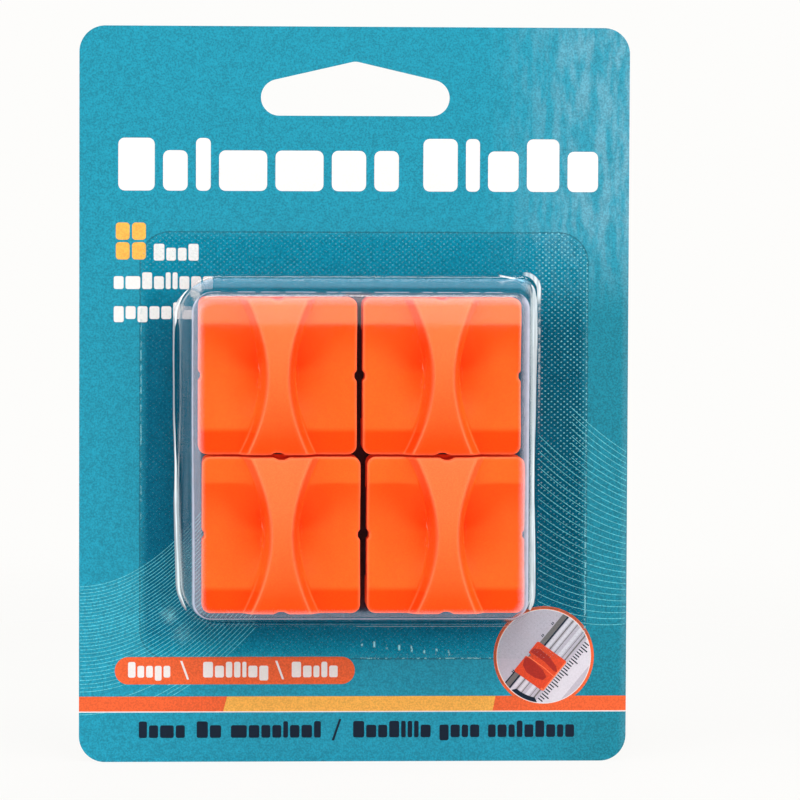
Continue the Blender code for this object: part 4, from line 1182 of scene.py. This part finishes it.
def spring_mesh(low, high, radius, wire, turns):
    """A compression spring along the press direction, its pitch closing up at both ends."""
    bm = bmesh.new()
    per_turn, around = 28, 10
    count = int(turns * per_turn)
    closed = wire * 2.3
    rows = []
    for i in range(count + 1):
        turn = i / per_turn
        share = min(1.0, max(0.0, (turn - 1.0) / (turns - 2.0)))
        h = low + closed * min(1.0, turn) + (high - low - 2 * closed) * share
        h += closed * max(0.0, turn - (turns - 1.0))
        a = 2 * math.pi * turn
        centre = Vector((radius * math.cos(a), -h, radius * math.sin(a)))
        out = Vector((math.cos(a), 0.0, math.sin(a)))
        row = []
        for k in range(around):
            b = 2 * math.pi * k / around
            row.append(bm.verts.new((centre + out * wire * math.cos(b) + Vector((0, wire * math.sin(b), 0))) * MM))
        rows.append(row)
    for a, b in zip(rows, rows[1:]):
        for k in range(around):
            n = (k + 1) % around
            bm.faces.new((a[k], a[n], b[n], b[k]))
    bm.faces.new(rows[0][::-1])
    bm.faces.new(rows[-1])
    bmesh.ops.recalc_face_normals(bm, faces=bm.faces[:])
    return bm


def make_springs():
    wire = steel("spring_steel_wire", 1500.0, (1.0, 1.0, 1.0), 0.22, 0.38)
    for place in PLACES:
        for end in ("upper", "lower"):
            node = "%s_return_spring_%s" % (place, end)
            low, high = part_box(node)
            x, z = (low.x + high.x) / 2, (low.z + high.z) / 2
            size = (high.y - low.y) / MM
            bm = spring_mesh(0.22, size - 0.22, 1.65, 0.22, 5.5)
            bm.transform(Matrix.Translation((x, high.y, z)))
            obj = mesh_object("%s_coil_%s" % (place, end), bm, wire, "pack")
            smooth(obj.data, 60.0)
            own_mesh(obj)
            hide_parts(node)


# ---------------------------------------------------------------- stage, light and camera

def make_stage():
    bm = bmesh.new()
    bmesh.ops.create_circle(bm, cap_ends=True, segments=96, radius=3.0)
    g = Graph("studio_floor")
    place = g.place()
    x, y, z = g.split(place)
    flat = g.node("CombineXYZ", {0: x, 1: y}).outputs[0]
    radius = g.node("VectorMath", {0: flat}, operation="LENGTH").outputs["Value"]
    camera_ray = g.node("LightPath").outputs["Is Camera Ray"]
    glow = g.node("Emission", {"Color": (0.985, 0.98, 0.965), "Strength": 0.985})
    matte = g.node("BsdfDiffuse", {"Color": (0.88, 0.88, 0.87)})
    lit = g.node("MixShader", {0: 0.93, 1: matte.outputs[0], 2: glow.outputs[0]})
    seen = g.node("MixShader", {0: g.ramp(radius, 0.22, 0.55), 1: lit.outputs[0],
                                2: g.node("BsdfTransparent").outputs[0]})
    both = g.node("MixShader", {0: camera_ray, 1: matte.outputs[0], 2: seen.outputs[0]})
    g.put(g.output.inputs["Surface"], both.outputs[0])
    floor = mesh_object("floor", bm, g.material)
    floor.visible_glossy = False


def make_world():
    world = bpy.data.worlds.new("studio")
    bpy.context.scene.world = world
    world.use_nodes = True
    tree = world.node_tree
    tree.nodes.clear()
    out = tree.nodes.new("ShaderNodeOutputWorld")
    path = tree.nodes.new("ShaderNodeLightPath")

    def background(colour, strength):
        node = tree.nodes.new("ShaderNodeBackground")
        node.inputs["Color"].default_value = (*colour, 1.0)
        node.inputs["Strength"].default_value = strength
        return node.outputs[0]

    def mix(share, a, b):
        node = tree.nodes.new("ShaderNodeMixShader")
        tree.links.new(share, node.inputs[0])
        tree.links.new(a, node.inputs[1])
        tree.links.new(b, node.inputs[2])
        return node.outputs[0]

    ambient = background((1.0, 1.0, 1.0), 0.15)
    mirrored = background((0.9, 0.95, 1.0), 0.03)
    seen = background((0.985, 0.98, 0.965), 1.0)
    surface = mix(path.outputs["Is Glossy Ray"], ambient, mirrored)
    surface = mix(path.outputs["Is Camera Ray"], surface, seen)
    tree.links.new(surface, out.inputs["Surface"])


def panel(name, place, aim, width, height, radiance, colour=(1.0, 1.0, 1.0), diffuse=True, glossy=True):
    """A rectangular softbox of a given radiance that the camera doesn't see."""
    light = bpy.data.lights.new(name, "AREA")
    light.shape = "RECTANGLE"
    light.size = width
    light.size_y = height
    light.energy = radiance * math.pi * width * height
    light.color = colour
    obj = link(bpy.data.objects.new(name, light))
    obj.location = place
    obj.rotation_euler = (Vector(aim) - Vector(place)).to_track_quat("-Z", "Y").to_euler()
    obj.visible_camera = False
    obj.visible_diffuse = diffuse
    obj.visible_glossy = glossy
    return obj


def make_lights():
    panel("top_softbox", (0.0, -0.50, 0.92), (0.0, -0.01, 0.07), 1.0, 0.5, 6.2)
    panel("left_softbox", (-0.62, -0.22, 0.20), (-0.02, -0.02, 0.07), 0.60, 0.80, 2.0, glossy=False)
    panel("right_softbox", (0.64, -0.22, 0.20), (0.02, -0.02, 0.07), 0.60, 0.80, 2.0, glossy=False)
    panel("front_reflection", (0.12, -1.10, 0.300), (0.12, 0.0, 0.300), 0.80, 0.50, 0.95, diffuse=False)
    panel("front_fill", (0.0, -1.30, 0.35), (0.0, 0.0, 0.07), 0.9, 0.9, 0.8, glossy=False)
    panel("back_fill", (0.30, 1.00, 0.45), (0.0, 0.0, 0.08), 0.9, 0.9, 2.2, glossy=False)


def make_camera():
    target = Vector((0.009331, card_low.y, 0.07408))
    yaw, lift, roll = math.radians(-3.3), math.radians(3.0), math.radians(0.242)
    back = Vector((math.sin(yaw) * math.cos(lift), -math.cos(yaw) * math.cos(lift), math.sin(lift)))
    right = (-back).cross(Vector((0.0, 0.0, 1.0))).normalized()
    up = right.cross(-back)
    side = right * math.cos(roll) + up * math.sin(roll)
    top = -right * math.sin(roll) + up * math.cos(roll)
    data = bpy.data.cameras.new("camera")
    data.lens = 220.54
    data.sensor_width = 36.0
    data.clip_start = 0.05
    data.clip_end = 20.0
    camera = link(bpy.data.objects.new("camera", data))
    turn = Matrix((side, top, back)).transposed().to_4x4()
    camera.matrix_world = Matrix.Translation(target + back) @ turn
    bpy.context.scene.camera = camera


make_card()
make_print()
make_blister()
make_caps()
dress_nodes()
make_springs()
make_stage()
make_world()
make_lights()
make_camera()
bpy.context.scene.view_settings.view_transform = "Standard"
